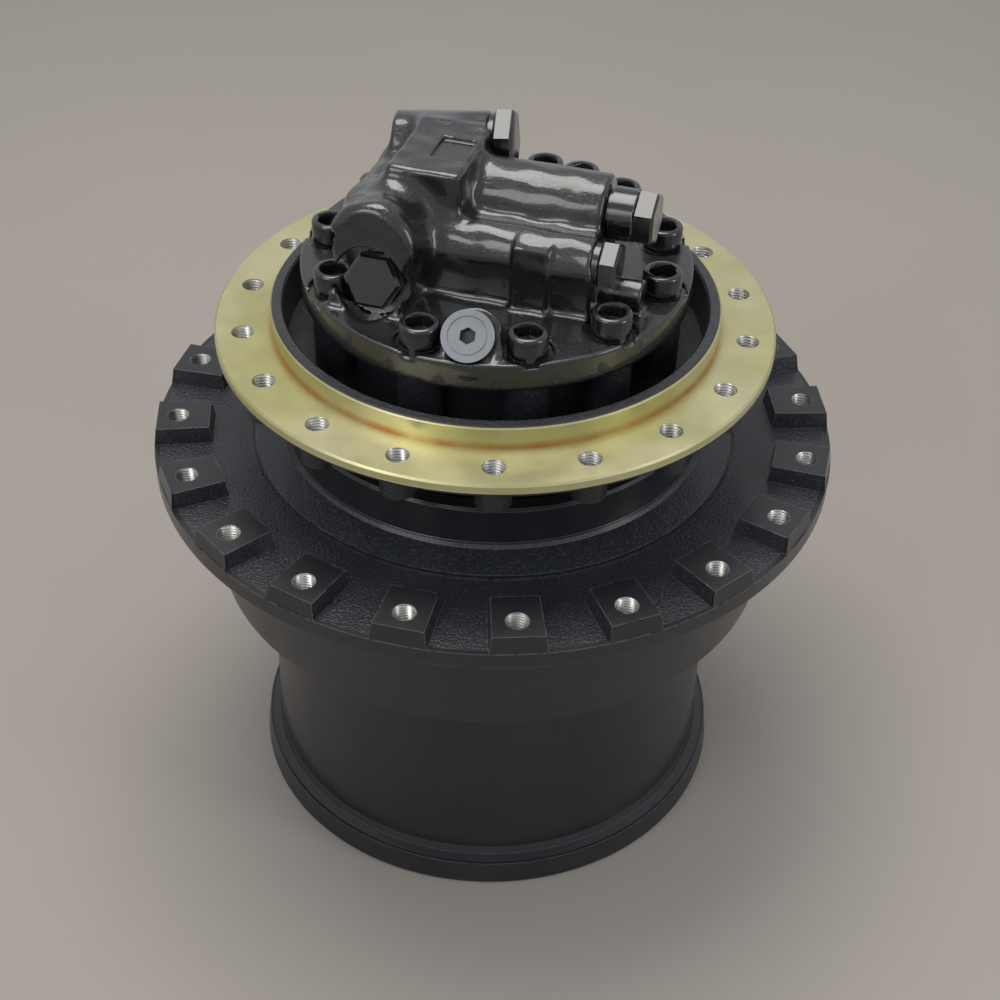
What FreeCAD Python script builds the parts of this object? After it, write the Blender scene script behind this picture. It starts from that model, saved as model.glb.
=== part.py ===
"""Track travel drive: a hydraulic motor and a two-stage planetary reduction in one unit.

Millimetres, +Z up along the output axis.  The origin is on the floor under the axis, where
the drive stands on the rim of its end cover with the motor side up.
"""
import FreeCAD
import Part
import Sketcher
import math
import os
from FreeCAD import Placement, Rotation, Vector

DOC = FreeCAD.newDocument("final_drive")
SHEET = DOC.addObject("Spreadsheet::Sheet", "Sizes")

DRIVING_SIZES = {
    # running and seating clearances
    "running_gap": 0.05,
    "seat_gap": 0.05,
    "face_gap": 0.3,
    # ring gear, which is also the lower drum, with the foot rim the drive stands on
    "foot_radius": 206.0,
    "foot_top_radius": 203.5,
    "foot_height": 22.5,
    "foot_fillet": 9.0,
    "neck_radius": 192.0,
    "ring_gear_height": 236.0,
    "cover_recess_radius": 187.0,
    "cover_recess_depth": 26.0,
    # end cover and its fastenings
    "cover_thickness": 14.0,
    "cover_spigot_radius": 143.0,
    "cover_spigot_height": 8.0,
    "cover_rib_height": 6.0,
    "hub_screw_circle": 172.0,
    "hub_screw_count": 20,
    "hub_screw_radius": 8.0,
    "hub_screw_head_radius": 12.0,
    "hub_screw_head_height": 10.0,
    "hub_screw_grip": 28.0,
    "plug_circle": 92.0,
    "plug_radius": 11.0,
    "plug_head_radius": 15.0,
    "plug_head_height": 7.0,
    "thrust_button_radius": 20.0,
    # gears
    "module_size": 4.0,
    "ring_teeth": 75,
    "tooth_thinning": 0.35,
    "addendum_factor": 0.8,
    "dedendum_factor": 1.15,
    "planet_pin_radius": 22.0,
    "input_sun_teeth": 15,
    "input_planet_teeth": 30,
    "input_stage_floor": 46.0,
    "input_face_width": 38.0,
    "output_sun_teeth": 21,
    "output_planet_teeth": 27,
    "output_stage_floor": 118.0,
    "output_face_width": 68.0,
    "stage_gap": 3.0,
    "input_carrier_thickness": 16.0,
    "input_carrier_radius": 122.0,
    "lower_plate_thickness": 7.0,
    "output_carrier_thickness": 26.0,
    "output_carrier_radius": 132.0,
    "carrier_spigot_radius": 88.0,
    "carrier_bore_radius": 28.0,
    "input_shaft_radius": 16.0,
    "sun_bore_radius": 20.0,
    # sprocket hub
    "hub_skirt_bottom": 219.0,
    "hub_shoulder_height": 226.0,
    "hub_shoulder_radius": 232.0,
    "hub_shoulder_chamfer": 6.0,
    "hub_wall_radius": 238.0,
    "ring_underside": 325.0,
    "ring_valley": 341.3,
    "ring_radius": 276.6,
    "pad_top": 355.6,
    "pad_inner_radius": 229.0,
    "pad_width": 40.0,
    "pad_count": 20,
    "pad_phase": 4.8,
    "pad_hole_circle": 257.0,
    "raised_ring_outer": 195.0,
    "raised_ring_inner": 173.0,
    "raised_ring_height": 350.0,
    "groove_width": 3.0,
    "groove_depth": 1.6,
    "collar_radius": 170.0,
    "collar_top": 385.0,
    "seal_bore_radius": 158.0,
    "seal_lip_radius": 150.0,
    "seal_lip_thickness": 8.0,
    "race_bore_radius": 164.0,
    "thread_radius": 8.75,
    "thread_chamfer": 1.9,
    # main bearings
    "spindle_radius": 120.0,
    "race_width": 32.0,
    "lower_race_floor": 250.0,
    "upper_race_floor": 320.0,
    "roller_circle": 142.0,
    "roller_radius": 9.5,
    "roller_length": 22.0,
    "roller_tilt": 12.0,
    "roller_count": 12,
    "cage_thickness": 2.4,
    "nut_thread_radius": 113.0,
    "nut_radius": 131.0,
    "nut_thickness": 14.0,
    # motor housing
    "spindle_bottom": 232.0,
    "carrier_seat_depth": 18.0,
    "case_floor_thickness": 16.0,
    "shaft_bearing_radius": 36.0,
    "spindle_shoulder_radius": 136.0,
    "spindle_shoulder_height": 14.0,
    "seal_neck_radius": 141.7,
    "seal_ring_height": 8.0,
    "case_wall_radius": 150.0,
    "flange_radius": 220.0,
    "flange_top": 447.5,
    "flange_thickness": 10.0,
    "flange_hole_circle": 198.3,
    "flange_hole_count": 18,
    "flange_hole_phase": 10.6,
    "flange_boss_radius": 13.5,
    "flange_boss_height": 20.5,
    "flange_root_radius": 178.0,
    "lip_radius": 176.0,
    "lip_bore_radius": 166.0,
    "lip_height": 17.5,
    "well_floor": 430.0,
    "case_top_radius": 121.0,
    "case_bore_radius": 94.0,
    "brake_bore_radius": 100.0,
    "brake_ledge": 360.0,
    "head_seat": 478.0,
    "head_boss_radius": 17.0,
    # motor rotating group and brake
    "shaft_radius": 17.5,
    "shaft_bottom": 238.0,
    "shaft_top": 470.0,
    "coupling_radius": 24.0,
    "coupling_bottom": 206.0,
    "block_radius": 62.0,
    "block_bottom": 340.0,
    "block_top": 424.0,
    "piston_count": 9,
    "piston_circle": 44.0,
    "piston_radius": 12.0,
    "piston_wall": 2.2,
    "piston_bottom": 319.0,
    "piston_top": 400.0,
    "swash_radius": 74.0,
    "swash_bore_radius": 30.0,
    "swash_angle": 5.0,
    "ball_centre_height": 326.0,
    "ball_radius": 7.0,
    "stem_radius": 4.0,
    "slipper_drop": 24.0,
    "slipper_radius": 11.5,
    "slipper_thickness": 5.0,
    "retainer_thickness": 4.0,
    "brake_plate_thickness": 4.0,
    "brake_disc_thickness": 3.4,
    "brake_disc_count": 3,
    "brake_disc_radius": 92.0,
    "brake_piston_height": 44.0,
    "brake_piston_inner": 70.0,
    "valve_plate_thickness": 6.0,
    "valve_plate_radius": 58.0,
    # valve head, drawn in its own frame turned about the output axis
    "head_angle": -16.0,
    "head_flange_radius": 151.0,
    "head_flange_thickness": 22.0,
    "head_spigot_radius": 66.0,
    "head_spigot_bottom": 430.0,
    "head_screw_circle": 131.0,
    "head_screw_radius": 10.0,
    "head_screw_head_radius": 15.0,
    "head_screw_head_height": 20.0,
    "head_screw_length": 50.0,
    "head_screw_key": 8.5,
    "spotface_radius": 19.0,
    "spotface_depth": 4.0,
    "spool_block_left": -35.0,
    "spool_block_right": 88.0,
    "front_bore_across": -49.0,
    "front_bore_height": 538.0,
    "front_barrel_radius": 18.0,
    "front_spool_radius": 9.0,
    "rear_bore_across": 2.0,
    "rear_bore_height": 552.0,
    "rear_barrel_radius": 28.0,
    "rear_spool_radius": 14.0,
    "spool_clearance_length": 8.0,
    "tower_left": -71.0,
    "tower_right": -14.0,
    "tower_front": -51.0,
    "tower_rear": 30.0,
    "tower_top": 590.0,
    "tower_recess_depth": 3.0,
    "port_along": -66.0,
    "port_front": -83.0,
    "port_height": 515.0,
    "port_tilt": 20.0,
    "port_barrel_radius": 33.0,
    "port_plug_radius": 18.0,
    "port_hex_radius": 22.0,
    "port_hex_height": 13.0,
    "cross_along": -20.0,
    "cross_across": 46.0,
    "cross_height": 571.0,
    "cross_turn": 8.4,
    "cross_lift": 4.7,
    "cross_barrel_radius": 22.0,
    "cross_barrel_length": 74.0,
    "cross_plug_radius": 15.0,
    "cross_hex_radius": 26.0,
    "disc_along": 19.0,
    "disc_across": -132.0,
    "disc_height": 511.0,
    "disc_turn": -82.0,
    "disc_lift": 45.0,
    "disc_radius": 19.2,
    "disc_thread_radius": 13.0,
    "disc_key_radius": 6.3,
    "disc_boss_radius": 23.0,
    "arch_left": 33.0,
    "arch_right": 57.0,
    "arch_front": -71.0,
    "arch_top": 551.0,
}


class Size:
    """A length with its number and the sheet formula that gives it."""

    def __init__(self, value, text):
        self.value = float(value)
        self.text = text

    @staticmethod
    def of(item):
        return item if isinstance(item, Size) else Size(item, repr(float(item)))

    def __add__(self, other):
        other = Size.of(other)
        return Size(self.value + other.value, f"({self.text} + {other.text})")

    def __sub__(self, other):
        other = Size.of(other)
        return Size(self.value - other.value, f"({self.text} - {other.text})")

    def __mul__(self, other):
        other = Size.of(other)
        return Size(self.value * other.value, f"({self.text} * {other.text})")

    def __truediv__(self, other):
        other = Size.of(other)
        return Size(self.value / other.value, f"({self.text} / {other.text})")

    def __radd__(self, other):
        return Size.of(other) + self

    def __rsub__(self, other):
        return Size.of(other) - self

    def __rmul__(self, other):
        return Size.of(other) * self

    def __neg__(self):
        return Size(-self.value, f"(0 - {self.text})")

    def __float__(self):
        return self.value


class SizeTable:
    """Sizes of the sheet by name, as table.alias."""

    def __getattr__(self, alias):
        return Size(SHEET.get(alias), f"Sizes.{alias}")


def fill_sheet():
    for row, (alias, value) in enumerate(DRIVING_SIZES.items(), start=1):
        SHEET.set(f"A{row}", alias)
        SHEET.set(f"B{row}", str(value))
        SHEET.setAlias(f"B{row}", alias)
    DOC.recompute()


fill_sheet()
S = SizeTable()
PARTS = []


def keep(item, label):
    """Name a finished sub-part and put it on the list of parts to export."""
    item.Label = label
    PARTS.append(item)
    return item


def bind(item, prop, size):
    item.setExpression(prop, Size.of(size).text)


# ---------------------------------------------------------------- sketches and bodies

def origin_plane(body, role):
    return next(feature for feature in body.Origin.OriginFeatures if feature.Role == role)


def new_body(name):
    return DOC.addObject("PartDesign::Body", name)


def new_sketch(body, role, name, offset=None):
    sketch = body.newObject("Sketcher::SketchObject", f"{body.Name}_{name}")
    sketch.AttachmentSupport = (origin_plane(body, role), [""])
    sketch.MapMode = "FlatFace"
    if offset is not None:
        bind(sketch, "AttachmentOffset.Base.z", offset)
    return sketch


def hold(sketch, kind, geometry, vertex, length):
    """Pin one coordinate of a point to a size, or to the axis where it is zero."""
    length = Size.of(length)
    if abs(length.value) < 1e-9:
        axis = -2 if kind == "DistanceX" else -1
        sketch.addConstraint(Sketcher.Constraint("PointOnObject", geometry, vertex, axis))
        return
    if length.value > 0:
        rule = Sketcher.Constraint(kind, -1, 1, geometry, vertex, length.value)
        text = length.text
    else:
        rule = Sketcher.Constraint(kind, geometry, vertex, -1, 1, -length.value)
        text = (-length).text
    index = sketch.addConstraint(rule)
    sketch.setExpression(f"Constraints[{index}]", text)


def outline(sketch, points):
    """Closed outline through points whose coordinates are sizes."""
    corners = [Vector(float(a), float(b), 0) for a, b in points]
    count = len(corners)
    first = sketch.GeometryCount
    for i in range(count):
        sketch.addGeometry(Part.LineSegment(corners[i], corners[(i + 1) % count]), False)
    for i in range(count):
        after = first + (i + 1) % count
        sketch.addConstraint(Sketcher.Constraint("Coincident", first + i, 2, after, 1))
    for i, (across, up) in enumerate(points):
        hold(sketch, "DistanceX", first + i, 1, across)
        hold(sketch, "DistanceY", first + i, 1, up)


def circle(sketch, across, up, radius):
    centre = Vector(float(across), float(up), 0)
    index = sketch.addGeometry(Part.Circle(centre, Vector(0, 0, 1), float(radius)), False)
    hold(sketch, "DistanceX", index, 3, across)
    hold(sketch, "DistanceY", index, 3, up)
    rule = sketch.addConstraint(Sketcher.Constraint("Radius", index, float(radius)))
    sketch.setExpression(f"Constraints[{rule}]", Size.of(radius).text)


def revolve(body, points, name="profile"):
    """Turned piece: an outline of (radius, height) points spun about the output axis."""
    sketch = new_sketch(body, "XZ_Plane", name)
    outline(sketch, points)
    turned = body.newObject("PartDesign::Revolution", f"{body.Name}_{name}_turned")
    turned.Profile = sketch
    turned.ReferenceAxis = (sketch, ["V_Axis"])
    turned.Angle = 360
    sketch.Visibility = False
    return turned


def polar(body, feature, sketch, count):
    """Repeat a feature about the output axis."""
    pattern = body.newObject("PartDesign::PolarPattern", f"{feature.Name}_ring")
    pattern.Originals = [feature]
    pattern.Axis = (sketch, ["N_Axis"])
    pattern.Angle = 360
    bind(pattern, "Occurrences", count)
    body.Tip = pattern
    return pattern


def pad(body, sketch, height, down=False):
    block = body.newObject("PartDesign::Pad", f"{sketch.Name}_pad")
    block.Profile = sketch
    bind(block, "Length", height)
    block.Reversed = down
    return block


def pocket(body, sketch, depth):
    """Cut down from the sketch plane, towards -Z."""
    cut_out = body.newObject("PartDesign::Pocket", f"{sketch.Name}_cut")
    cut_out.Profile = sketch
    bind(cut_out, "Length", depth)
    return cut_out


def hole_ring(body, name, top, depth, radius, circle_radius, count, phase=0.0):
    """A ring of round holes drilled down from the height given by top."""
    sketch = new_sketch(body, "XY_Plane", name, top)
    bind(sketch, "AttachmentOffset.Rotation.Angle", phase)
    circle(sketch, circle_radius, 0, radius)
    return polar(body, pocket(body, sketch, depth), sketch, count)


def turned_ring(name, points, count=None, phase=None):
    body = new_body(name)
    revolve(body, points)
    return keep(body, name)


def box_points(left, right, low, high):
    return [(left, low), (right, low), (right, high), (left, high)]


# ---------------------------------------------------------------- solids and booleans

def primitive(kind, name, sizes, at, rotation=None):
    item = DOC.addObject(kind, name)
    if rotation is not None:
        item.Placement = Placement(Vector(), rotation)
    for prop, size in sizes.items():
        bind(item, prop, size)
    for axis, size in zip("xyz", at):
        bind(item, f"Placement.Base.{axis}", size)
    return item


def cylinder(name, radius, height, at=(0, 0, 0), rotation=None):
    return primitive("Part::Cylinder", name, {"Radius": radius, "Height": height}, at, rotation)


def cone(name, low_radius, high_radius, height, at=(0, 0, 0), rotation=None):
    sizes = {"Radius1": low_radius, "Radius2": high_radius, "Height": height}
    return primitive("Part::Cone", name, sizes, at, rotation)


def block(name, low, high):
    """Box between two corners."""
    sizes = dict(zip(("Length", "Width", "Height"), (b - a for a, b in zip(low, high))))
    return primitive("Part::Box", name, sizes, low)


def hexagon(name, radius, height, at=(0, 0, 0), rotation=None):
    sizes = {"Circumradius": radius, "Height": height}
    item = primitive("Part::Prism", name, sizes, at, rotation)
    item.Polygon = 6
    return item


def fuse(name, items):
    joined = DOC.addObject("Part::MultiFuse", name)
    joined.Shapes = items
    joined.Refine = True
    return joined


def cut(name, base, tools):
    result = DOC.addObject("Part::Cut", name)
    result.Base = base
    result.Tool = tools[0] if len(tools) == 1 else fuse(f"{name}_tools", tools)
    result.Refine = True
    return result


def shaped(name, shape):
    """Sub-part whose form follows a formula that no primitive or sketch gives."""
    item = DOC.addObject("Part::Feature", name)
    item.Shape = shape
    return item


# ---------------------------------------------------------------- gear teeth

PRESSURE_ANGLE = math.radians(20.0)


def involute(angle):
    return math.tan(angle) - angle


def half_tooth_angle(radius, teeth, thinning):
    """Half the angle a tooth fills at a radius, for a tooth thinned at its pitch circle."""
    pitch_radius = float(S.module_size) * teeth / 2
    base_radius = pitch_radius * math.cos(PRESSURE_ANGLE)
    pressure = math.acos(min(1.0, base_radius / max(radius, base_radius)))
    thinned = math.pi / (2 * teeth) - thinning / (2 * pitch_radius)
    return thinned + involute(PRESSURE_ANGLE) - involute(pressure)


def tooth_outline(teeth, tip_radius, root_radius, thinning, first_angle):
    """Closed wire round a gear, one tip and one root land to each tooth."""
    points = []
    tip_half = half_tooth_angle(tip_radius, teeth, thinning)
    root_half = half_tooth_angle(root_radius, teeth, thinning)
    for tooth in range(teeth):
        centre = first_angle + 2 * math.pi * tooth / teeth
        corners = ((root_radius, -root_half), (tip_radius, -tip_half),
                   (tip_radius, tip_half), (root_radius, root_half))
        for radius, offset in corners:
            points.append(Vector(radius * math.cos(centre + offset),
                                 radius * math.sin(centre + offset), 0))
    return Part.makePolygon(points + points[:1])


def external_gear(teeth, height, bore, first_angle):
    """Spur gear standing on the plane z = 0 with a plain bore."""
    module = float(S.module_size)
    tip = module * (teeth / 2 + float(S.addendum_factor))
    root = module * (teeth / 2 - float(S.dedendum_factor))
    wire = tooth_outline(teeth, tip, root, float(S.tooth_thinning), first_angle)
    gear = Part.Face(wire).extrude(Vector(0, 0, float(height)))
    if bore is None:
        return gear
    return gear.cut(Part.makeCylinder(float(bore), float(height)))


def ring_tooth_core(height):
    """The space inside the ring gear's teeth, as a solid to cut from its blank."""
    teeth = int(float(S.ring_teeth))
    module = float(S.module_size)
    deep = module * (teeth / 2 + float(S.dedendum_factor))
    shallow = module * (teeth / 2 - float(S.addendum_factor))
    wire = tooth_outline(teeth, deep, shallow, -float(S.tooth_thinning), 0.0)
    return Part.Face(wire).extrude(Vector(0, 0, float(height)))


def centre_distance(sun_teeth, planet_teeth):
    return S.module_size * (sun_teeth + planet_teeth) / 2


# ---------------------------------------------------------------- output drum

def make_ring_gear():
    bore = S.module_size * (S.ring_teeth / 2 - S.addendum_factor) - 2
    top = S.ring_gear_height
    blank = new_body("ring_gear_blank")
    revolve(blank, [
        (S.cover_recess_radius, 0),
        (S.foot_radius - 2, 0),
        (S.foot_radius, 2),
        (S.foot_top_radius, S.foot_height),
        (S.neck_radius + S.foot_fillet, S.foot_height),
        (S.neck_radius + S.foot_fillet * 0.3, S.foot_height + S.foot_fillet * 0.3),
        (S.neck_radius, S.foot_height + S.foot_fillet),
        (S.neck_radius, top),
        (bore, top),
        (bore, S.cover_recess_depth),
        (S.cover_recess_radius, S.cover_recess_depth),
    ])
    hole_ring(blank, "screw_holes", top + 1, S.ring_gear_height,
              S.hub_screw_radius + S.face_gap, S.hub_screw_circle, S.hub_screw_count)
    core = shaped("ring_gear_teeth", ring_tooth_core(S.ring_gear_height + 20))
    return keep(cut("ring_gear_cut", blank, [core]), "ring_gear")


def make_sprocket_hub():
    body = new_body("sprocket_hub_body")
    groove_inner = S.raised_ring_outer
    groove_outer = S.raised_ring_outer + S.groove_width
    ring_seat = S.ring_gear_height
    race_top = S.upper_race_floor + S.race_width
    revolve(body, [
        (S.neck_radius + S.seat_gap, S.hub_skirt_bottom),
        (S.hub_shoulder_radius - S.hub_shoulder_chamfer, S.hub_skirt_bottom),
        (S.hub_shoulder_radius, S.hub_shoulder_height),
        (S.hub_wall_radius, S.ring_underside - 12),
        (S.hub_wall_radius + 12, S.ring_underside),
        (S.ring_radius - 3, S.ring_underside),
        (S.ring_radius, S.ring_underside + 3),
        (S.ring_radius, S.ring_valley),
        (groove_outer, S.ring_valley),
        (groove_outer, S.ring_valley - S.groove_depth),
        (groove_inner, S.ring_valley - S.groove_depth),
        (groove_inner, S.ring_valley + 2),
        (S.raised_ring_inner, S.raised_ring_height),
        (S.collar_radius, S.raised_ring_height + 4),
        (S.collar_radius, S.collar_top - 2),
        (S.collar_radius - 2, S.collar_top),
        (S.seal_bore_radius, S.collar_top),
        (S.seal_bore_radius, race_top + S.seal_lip_thickness),
        (S.seal_lip_radius, race_top + S.seal_lip_thickness),
        (S.seal_lip_radius, race_top),
        (S.race_bore_radius, race_top),
        (S.race_bore_radius, ring_seat),
        (S.neck_radius + S.seat_gap, ring_seat),
    ])
    sketch = new_sketch(body, "XY_Plane", "pads", S.ring_valley - 1)
    bind(sketch, "AttachmentOffset.Rotation.Angle", S.pad_phase)
    outline(sketch, [
        (S.pad_inner_radius, -S.pad_width / 2),
        (S.ring_radius - 0.8, -S.pad_width * 0.54),
        (S.ring_radius - 0.8, S.pad_width * 0.54),
        (S.pad_inner_radius, S.pad_width / 2),
    ])
    pads = pad(body, sketch, S.pad_top - S.ring_valley + 1)
    pads.TaperAngle = -8
    polar(body, pads, sketch, S.pad_count)
    hole_ring(body, "pad_holes", S.pad_top, S.pad_top - S.ring_underside + 1,
              S.thread_radius, S.pad_hole_circle, S.pad_count, S.pad_phase)
    hole_ring(body, "ring_screw_holes", ring_seat + S.hub_screw_grip + 4, S.hub_screw_grip + 4,
              S.hub_screw_radius + S.seat_gap, S.hub_screw_circle, S.hub_screw_count)
    return keep(body, "sprocket_hub")


def make_end_cover():
    body = new_body("end_cover_body")
    low = S.cover_recess_depth - S.cover_thickness
    high = S.cover_recess_depth
    revolve(body, [
        (0, low),
        (S.cover_recess_radius - S.seat_gap, low),
        (S.cover_recess_radius - S.seat_gap, high),
        (S.cover_spigot_radius, high),
        (S.cover_spigot_radius, high + S.cover_spigot_height),
        (0, high + S.cover_spigot_height),
    ])
    hole_ring(body, "screw_holes", high + 1, S.cover_thickness + 2,
              S.hub_screw_radius + S.face_gap, S.hub_screw_circle, S.hub_screw_count)
    hole_ring(body, "plug_holes", high + S.cover_spigot_height + 1,
              S.cover_thickness + S.cover_spigot_height + 2,
              S.plug_radius + S.seat_gap, S.plug_circle, 3)
    return keep(body, "end_cover")


def make_hub_screws():
    """Long screws that clamp cover, ring gear and hub together."""
    body = new_body("hub_screws_body")
    seat = S.cover_recess_depth - S.cover_thickness
    tip = S.ring_gear_height + S.hub_screw_grip
    sketch = new_sketch(body, "XY_Plane", "heads", seat)
    circle(sketch, S.hub_screw_circle, 0, S.hub_screw_head_radius)
    polar(body, pad(body, sketch, S.hub_screw_head_height, down=True), sketch, S.hub_screw_count)
    shanks = new_sketch(body, "XY_Plane", "shanks", seat - 1)
    circle(shanks, S.hub_screw_circle, 0, S.hub_screw_radius)
    polar(body, pad(body, shanks, tip - seat + 1), shanks, S.hub_screw_count)
    return keep(body, "hub_screws")


def make_cover_plugs():
    """Level, fill and drain plugs in the end cover."""
    seat = S.cover_recess_depth - S.cover_thickness
    length = S.cover_thickness + S.cover_spigot_height
    body = new_body("cover_plugs_body")
    sketch = new_sketch(body, "XY_Plane", "heads", seat)
    circle(sketch, S.plug_circle, 0, S.plug_head_radius)
    polar(body, pad(body, sketch, S.plug_head_height, down=True), sketch, Size.of(3))
    shanks = new_sketch(body, "XY_Plane", "shanks", seat - 1)
    circle(shanks, S.plug_circle, 0, S.plug_radius)
    polar(body, pad(body, shanks, length + 1), shanks, Size.of(3))
    return keep(body, "cover_plugs")


def make_thrust_button():
    low = S.cover_recess_depth + S.cover_spigot_height
    return turned_ring("thrust_button", [
        (0, low), (S.thrust_button_radius, low),
        (S.thrust_button_radius, S.input_stage_floor - 2 - S.face_gap),
        (0, S.input_stage_floor - 2 - S.face_gap)])


# ---------------------------------------------------------------- main bearings and seal

def race_radius(height, middle, tilt_sign, side):
    """Raceway radius at a height; side is -1 for the inner race and +1 for the outer."""
    slope = math.tan(math.radians(float(S.roller_tilt))) * tilt_sign
    lean = math.cos(math.radians(float(S.roller_tilt)))
    reach = (S.roller_radius + S.running_gap) / lean
    return S.roller_circle + (height - middle) * slope + reach * side


def make_bearing(prefix, floor, tilt_sign):
    """Taper roller bearing: inner race, outer race, and rollers in a thin cage."""
    top = floor + S.race_width
    middle = floor + S.race_width / 2
    turned_ring(f"{prefix}_inner_race", [
        (S.spindle_radius + S.seat_gap, floor),
        (race_radius(floor, middle, tilt_sign, -1), floor),
        (race_radius(top, middle, tilt_sign, -1), top),
        (S.spindle_radius + S.seat_gap, top)])
    turned_ring(f"{prefix}_outer_race", [
        (race_radius(floor, middle, tilt_sign, 1), floor),
        (S.race_bore_radius - S.seat_gap, floor),
        (S.race_bore_radius - S.seat_gap, top),
        (race_radius(top, middle, tilt_sign, 1), top)])
    rollers = []
    count = int(float(S.roller_count))
    lean = Rotation(Vector(0, 1, 0), float(S.roller_tilt) * tilt_sign)
    for i in range(count):
        roller = Part.makeCylinder(float(S.roller_radius), float(S.roller_length),
                                   Vector(0, 0, -float(S.roller_length) / 2))
        roller.Placement = Placement(Vector(float(S.roller_circle), 0, float(middle)), lean)
        roller.rotate(Vector(), Vector(0, 0, 1), 360.0 * i / count)
        rollers.append(roller)
    return keep(shaped(f"{prefix}_rollers_set", Part.makeCompound(rollers)), f"{prefix}_rollers")


def make_seal_rings():
    race_top = S.upper_race_floor + S.race_width
    lip_top = race_top + S.seal_lip_thickness
    inner = S.seal_neck_radius + S.face_gap
    outer = S.seal_bore_radius - S.face_gap
    turned_ring("hub_seal_ring",
                box_points(inner, outer, lip_top, lip_top + S.seal_ring_height))
    low = lip_top + S.seal_ring_height + S.face_gap
    turned_ring("housing_seal_ring", box_points(inner, outer, low, low + S.seal_ring_height))
    return low + S.seal_ring_height


def make_bearing_nut():
    top = S.lower_race_floor
    body = new_body("bearing_nut_body")
    revolve(body, box_points(S.nut_thread_radius + S.seat_gap, S.nut_radius,
                             top - S.nut_thickness, top))
    sketch = new_sketch(body, "XY_Plane", "slots", top - S.nut_thickness + 5)
    outline(sketch, box_points(S.nut_radius - 5, S.nut_radius + 2, Size.of(-5), Size.of(5)))
    polar(body, pocket(body, sketch, S.nut_thickness), sketch, Size.of(8))
    return keep(body, "bearing_nut")


# ---------------------------------------------------------------- motor housing

def make_motor_housing():
    body = new_body("motor_housing_body")
    race_top = S.upper_race_floor + S.race_width
    shoulder_top = race_top + S.spindle_shoulder_height
    seal_seat = race_top + S.seal_lip_thickness + S.seal_ring_height * 2 + S.face_gap
    case_floor = S.spindle_bottom + S.carrier_seat_depth
    cavity_floor = case_floor + S.case_floor_thickness
    underside = S.flange_top - S.flange_thickness
    lip_top = S.flange_top + S.lip_height
    revolve(body, [
        (S.carrier_spigot_radius + S.seat_gap, S.spindle_bottom),
        (S.nut_thread_radius, S.spindle_bottom),
        (S.nut_thread_radius, S.lower_race_floor),
        (S.spindle_radius, S.lower_race_floor),
        (S.spindle_radius, race_top),
        (S.spindle_shoulder_radius, race_top),
        (S.spindle_shoulder_radius, shoulder_top),
        (S.seal_neck_radius, shoulder_top + 3),
        (S.seal_neck_radius, seal_seat),
        (S.case_wall_radius, seal_seat),
        (S.case_wall_radius, underside - S.flange_boss_height - 8),
        (S.flange_root_radius, underside - 8),
        (S.flange_root_radius, underside),
        (S.flange_radius - 1.5, underside),
        (S.flange_radius, underside + 1.5),
        (S.flange_radius, S.flange_top - 1.5),
        (S.flange_radius - 1.5, S.flange_top),
        (S.lip_radius, S.flange_top),
        (S.lip_radius, lip_top - 2),
        (S.lip_radius - 2, lip_top),
        (S.lip_bore_radius + 1.5, lip_top),
        (S.lip_bore_radius, lip_top - 1.5),
        (S.lip_bore_radius - 2, S.well_floor),
        (S.case_top_radius, S.well_floor),
        (S.case_top_radius, S.head_seat),
        (S.brake_bore_radius, S.head_seat),
        (S.brake_bore_radius, S.brake_ledge),
        (S.case_bore_radius, S.brake_ledge),
        (S.case_bore_radius, cavity_floor),
        (S.shaft_bearing_radius + S.seat_gap, cavity_floor),
        (S.shaft_bearing_radius + S.seat_gap, case_floor),
        (S.carrier_spigot_radius + S.seat_gap, case_floor),
    ])
    sketch = new_sketch(body, "XY_Plane", "flange_bosses", underside + 1)
    bind(sketch, "AttachmentOffset.Rotation.Angle", S.flange_hole_phase)
    circle(sketch, S.flange_hole_circle, 0, S.flange_boss_radius)
    bosses = pad(body, sketch, S.flange_boss_height + 1, down=True)
    polar(body, bosses, sketch, S.flange_hole_count)
    for i, angle in enumerate(HEAD_SCREW_ANGLES):
        spot = new_sketch(body, "XY_Plane", f"head_boss_{i}", S.head_seat)
        bind(spot, "AttachmentOffset.Rotation.Angle", S.head_angle + angle)
        circle(spot, S.head_screw_circle, 0, S.head_boss_radius)
        pad(body, spot, S.head_seat - S.well_floor + 2, down=True)
    hole_ring(body, "flange_holes", S.flange_top,
              S.flange_thickness + S.flange_boss_height + 1, S.thread_radius,
              S.flange_hole_circle, S.flange_hole_count, S.flange_hole_phase)
    for i, angle in enumerate(HEAD_SCREW_ANGLES):
        spot = new_sketch(body, "XY_Plane", f"head_hole_{i}", S.head_seat)
        bind(spot, "AttachmentOffset.Rotation.Angle", S.head_angle + angle)
        circle(spot, S.head_screw_circle, 0, S.head_screw_radius + S.seat_gap)
        pocket(body, spot, S.head_seat - S.well_floor - 8)
    return keep(body, "motor_housing")


# Angles of the valve head's screws from its own X axis; they leave room for the castings.
HEAD_SCREW_ANGLES = (27, 57, 75.5, 89.5, 122, 154, 186.5, 219, 262, 296.5, 326, 357)


# ---------------------------------------------------------------- planetary stages

def make_planets(prefix, sun_teeth, planet_teeth, floor, width):
    """Three planet gears, each a sub-part of its own, at 120 degrees."""
    distance = float(centre_distance(sun_teeth, planet_teeth))
    teeth = int(float(planet_teeth))
    for i in range(3):
        angle = 2 * math.pi * i / 3
        gear = external_gear(teeth, width, S.planet_pin_radius + S.running_gap, angle)
        item = shaped(f"{prefix}_planet_{i + 1}_gear", gear)
        item.Placement = Placement(Vector(distance * math.cos(angle),
                                          distance * math.sin(angle), float(floor)), Rotation())
        keep(item, f"{prefix}_planet_{i + 1}")


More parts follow.
